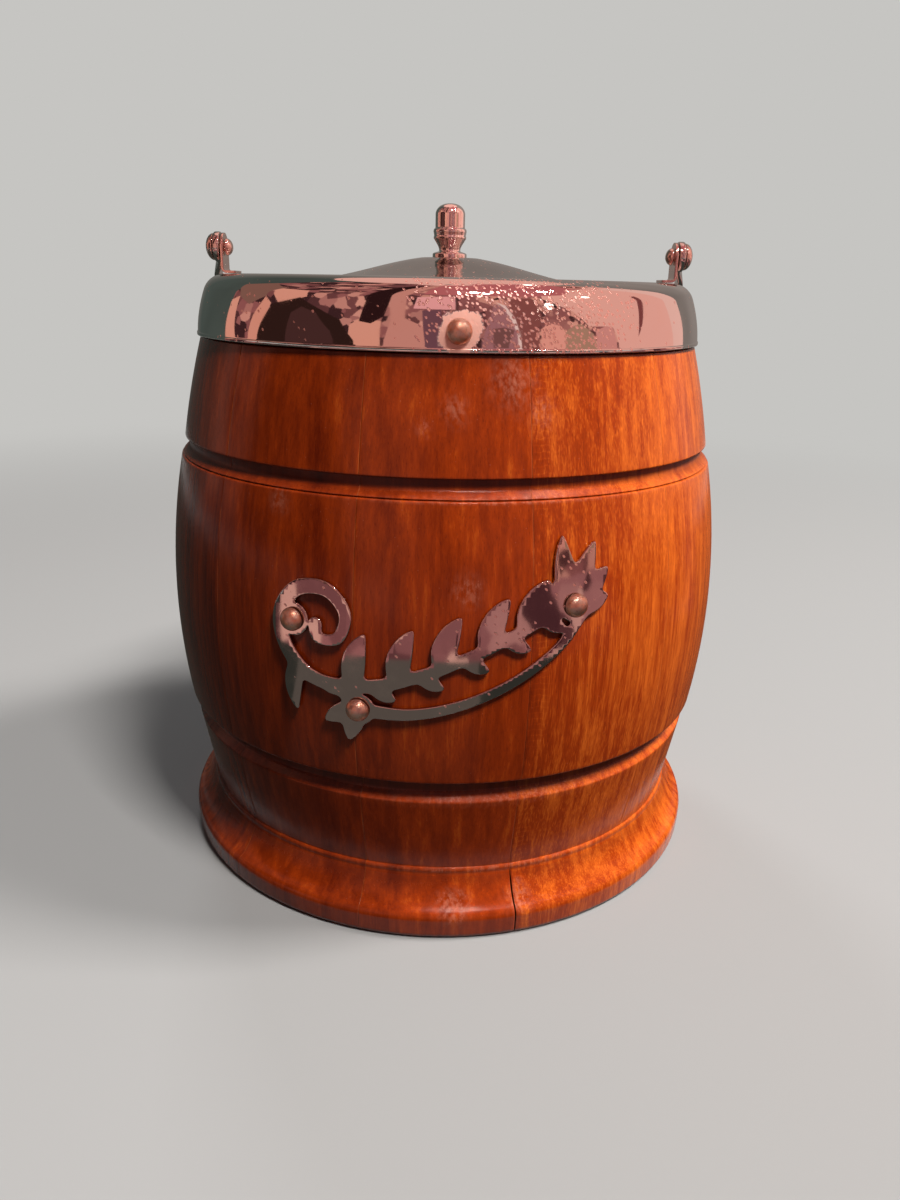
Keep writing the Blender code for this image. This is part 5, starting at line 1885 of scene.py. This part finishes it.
    def ring_card(self, name: str, rows: Sequence[Point], turns: Point, finish: Finish) -> None:
        """A card that runs round the barrel low down.

        Args:
            name: the card's name.
            rows: radius and height of each of its rings, in metres.
            turns: azimuths of its two ends, in degrees.
            finish: its finish.
        """
        bm = bmesh.new()
        angles = np.radians(np.linspace(*turns, self.card_turns + 1))
        skin(bm, [[
            bm.verts.new(on_front(radius / MM, angle, height / MM)) for angle in angles
        ] for radius, height in rows])
        self.card(name, bm, finish)

    def area_light(
        self, name: str, turn: float, rise: float, distance: float, size: float, watts: float, tint: str
    ) -> bpy.types.Object:
        """A square light aimed at the middle of the barrel, unseen by the camera.

        Args:
            name: the light's name.
            turn: azimuth from the front, in degrees.
            rise: elevation, in degrees.
            distance: how far off it is.
            size: length of its side.
            watts: its power.
            tint: its colour.

        Returns:
            The light's object.
        """
        light = bpy.data.lights.new(name, "AREA")
        light.shape = "SQUARE"
        light.size = size
        light.energy = watts
        light.color = linear(tint)[:3]
        result = link(name, light)
        result.location = self.seen(turn, rise, distance)
        aim = Vector((0.0, 0.0, self.aim_height)) - result.location
        result.rotation_mode = "QUATERNION"
        result.rotation_quaternion = aim.to_track_quat("-Z", "Y")
        result.visible_camera = False
        return result

    def light(self) -> None:
        """A side lamp, a high front lamp, a weak one behind, small bulbs for sparkle and an even world."""
        for name, turn, rise, level, tint in self.lamps:
            watts = level * (math.pi * self.lamp_distance) ** 2        # level 1 renders a facing white card as white
            lamp = self.area_light(name, turn, rise, self.lamp_distance, self.lamp_size, watts, tint)
            lamp.visible_glossy = False
        for i, (turn, rise, radiance) in enumerate(self.glints):
            watts = radiance * math.pi * self.glint_size ** 2
            glint = self.area_light(
                f"glint_{i + 1}", turn, rise, self.glint_distance, self.glint_size, watts, self.spark_tint
            )
            glint.visible_diffuse = False
        for i, (turn, rise) in enumerate(self.bulbs):
            light = bpy.data.lights.new(f"bulb_{i + 1}", "POINT")
            light.energy = self.bulb_watts
            light.shadow_soft_size = self.bulb_radius
            light.color = linear(self.spark_tint)[:3]
            link(light.name, light).location = self.seen(turn, rise, self.bulb_distance)
        world = bpy.data.worlds.new("even_world")
        world.use_nodes = True
        world.node_tree.nodes.clear()
        sky = add_node(world.node_tree, "Background", {"Color": self.world, "Strength": self.world_strength})
        add_node(world.node_tree, "OutputWorld", {"Surface": sky})
        bpy.context.scene.world = world

    def camera(self) -> None:
        """The camera of the photograph, with its small roll."""
        data = bpy.data.cameras.new("camera")
        data.sensor_width = self.sensor_mm
        data.sensor_fit = "AUTO"
        data.lens = self.focal_pixels / self.image_height * self.sensor_mm
        data.clip_start, data.clip_end = self.camera_range
        eye = link("camera", data)
        ahead = Vector((
            math.sin(self.camera_yaw) * math.cos(self.camera_pitch),
            math.cos(self.camera_yaw) * math.cos(self.camera_pitch),
            -math.sin(self.camera_pitch),
        ))
        level = ahead.cross(Vector((0.0, 0.0, 1.0))).normalized()
        upright = level.cross(ahead)
        right = math.cos(self.camera_roll) * level + math.sin(self.camera_roll) * upright
        up = math.cos(self.camera_roll) * upright - math.sin(self.camera_roll) * level
        turn = Matrix((right, up, -ahead)).transposed().to_4x4()
        eye.matrix_world = Matrix.Translation(self.camera_place) @ turn
        bpy.context.scene.camera = eye

    def build(self) -> None:
        """Set up the whole studio."""
        self.camera()
        self.floor()
        self.cards()
        self.light()
        bpy.context.scene.view_settings.view_transform = "Standard"
        log.info("studio: floor, backdrop, cards, lamps and camera")


def main() -> None:
    """Build and dress every sub-assembly in order."""
    logging.basicConfig(level=logging.INFO, format="%(message)s")
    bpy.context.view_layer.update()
    for part in (Studio, StaveBody, BaseBoard, Liner, Collar, Lid, Knob, HandleMounts, Bail, Ornament, DomePins):
        part().build()


if __name__ == "__main__":
    main()
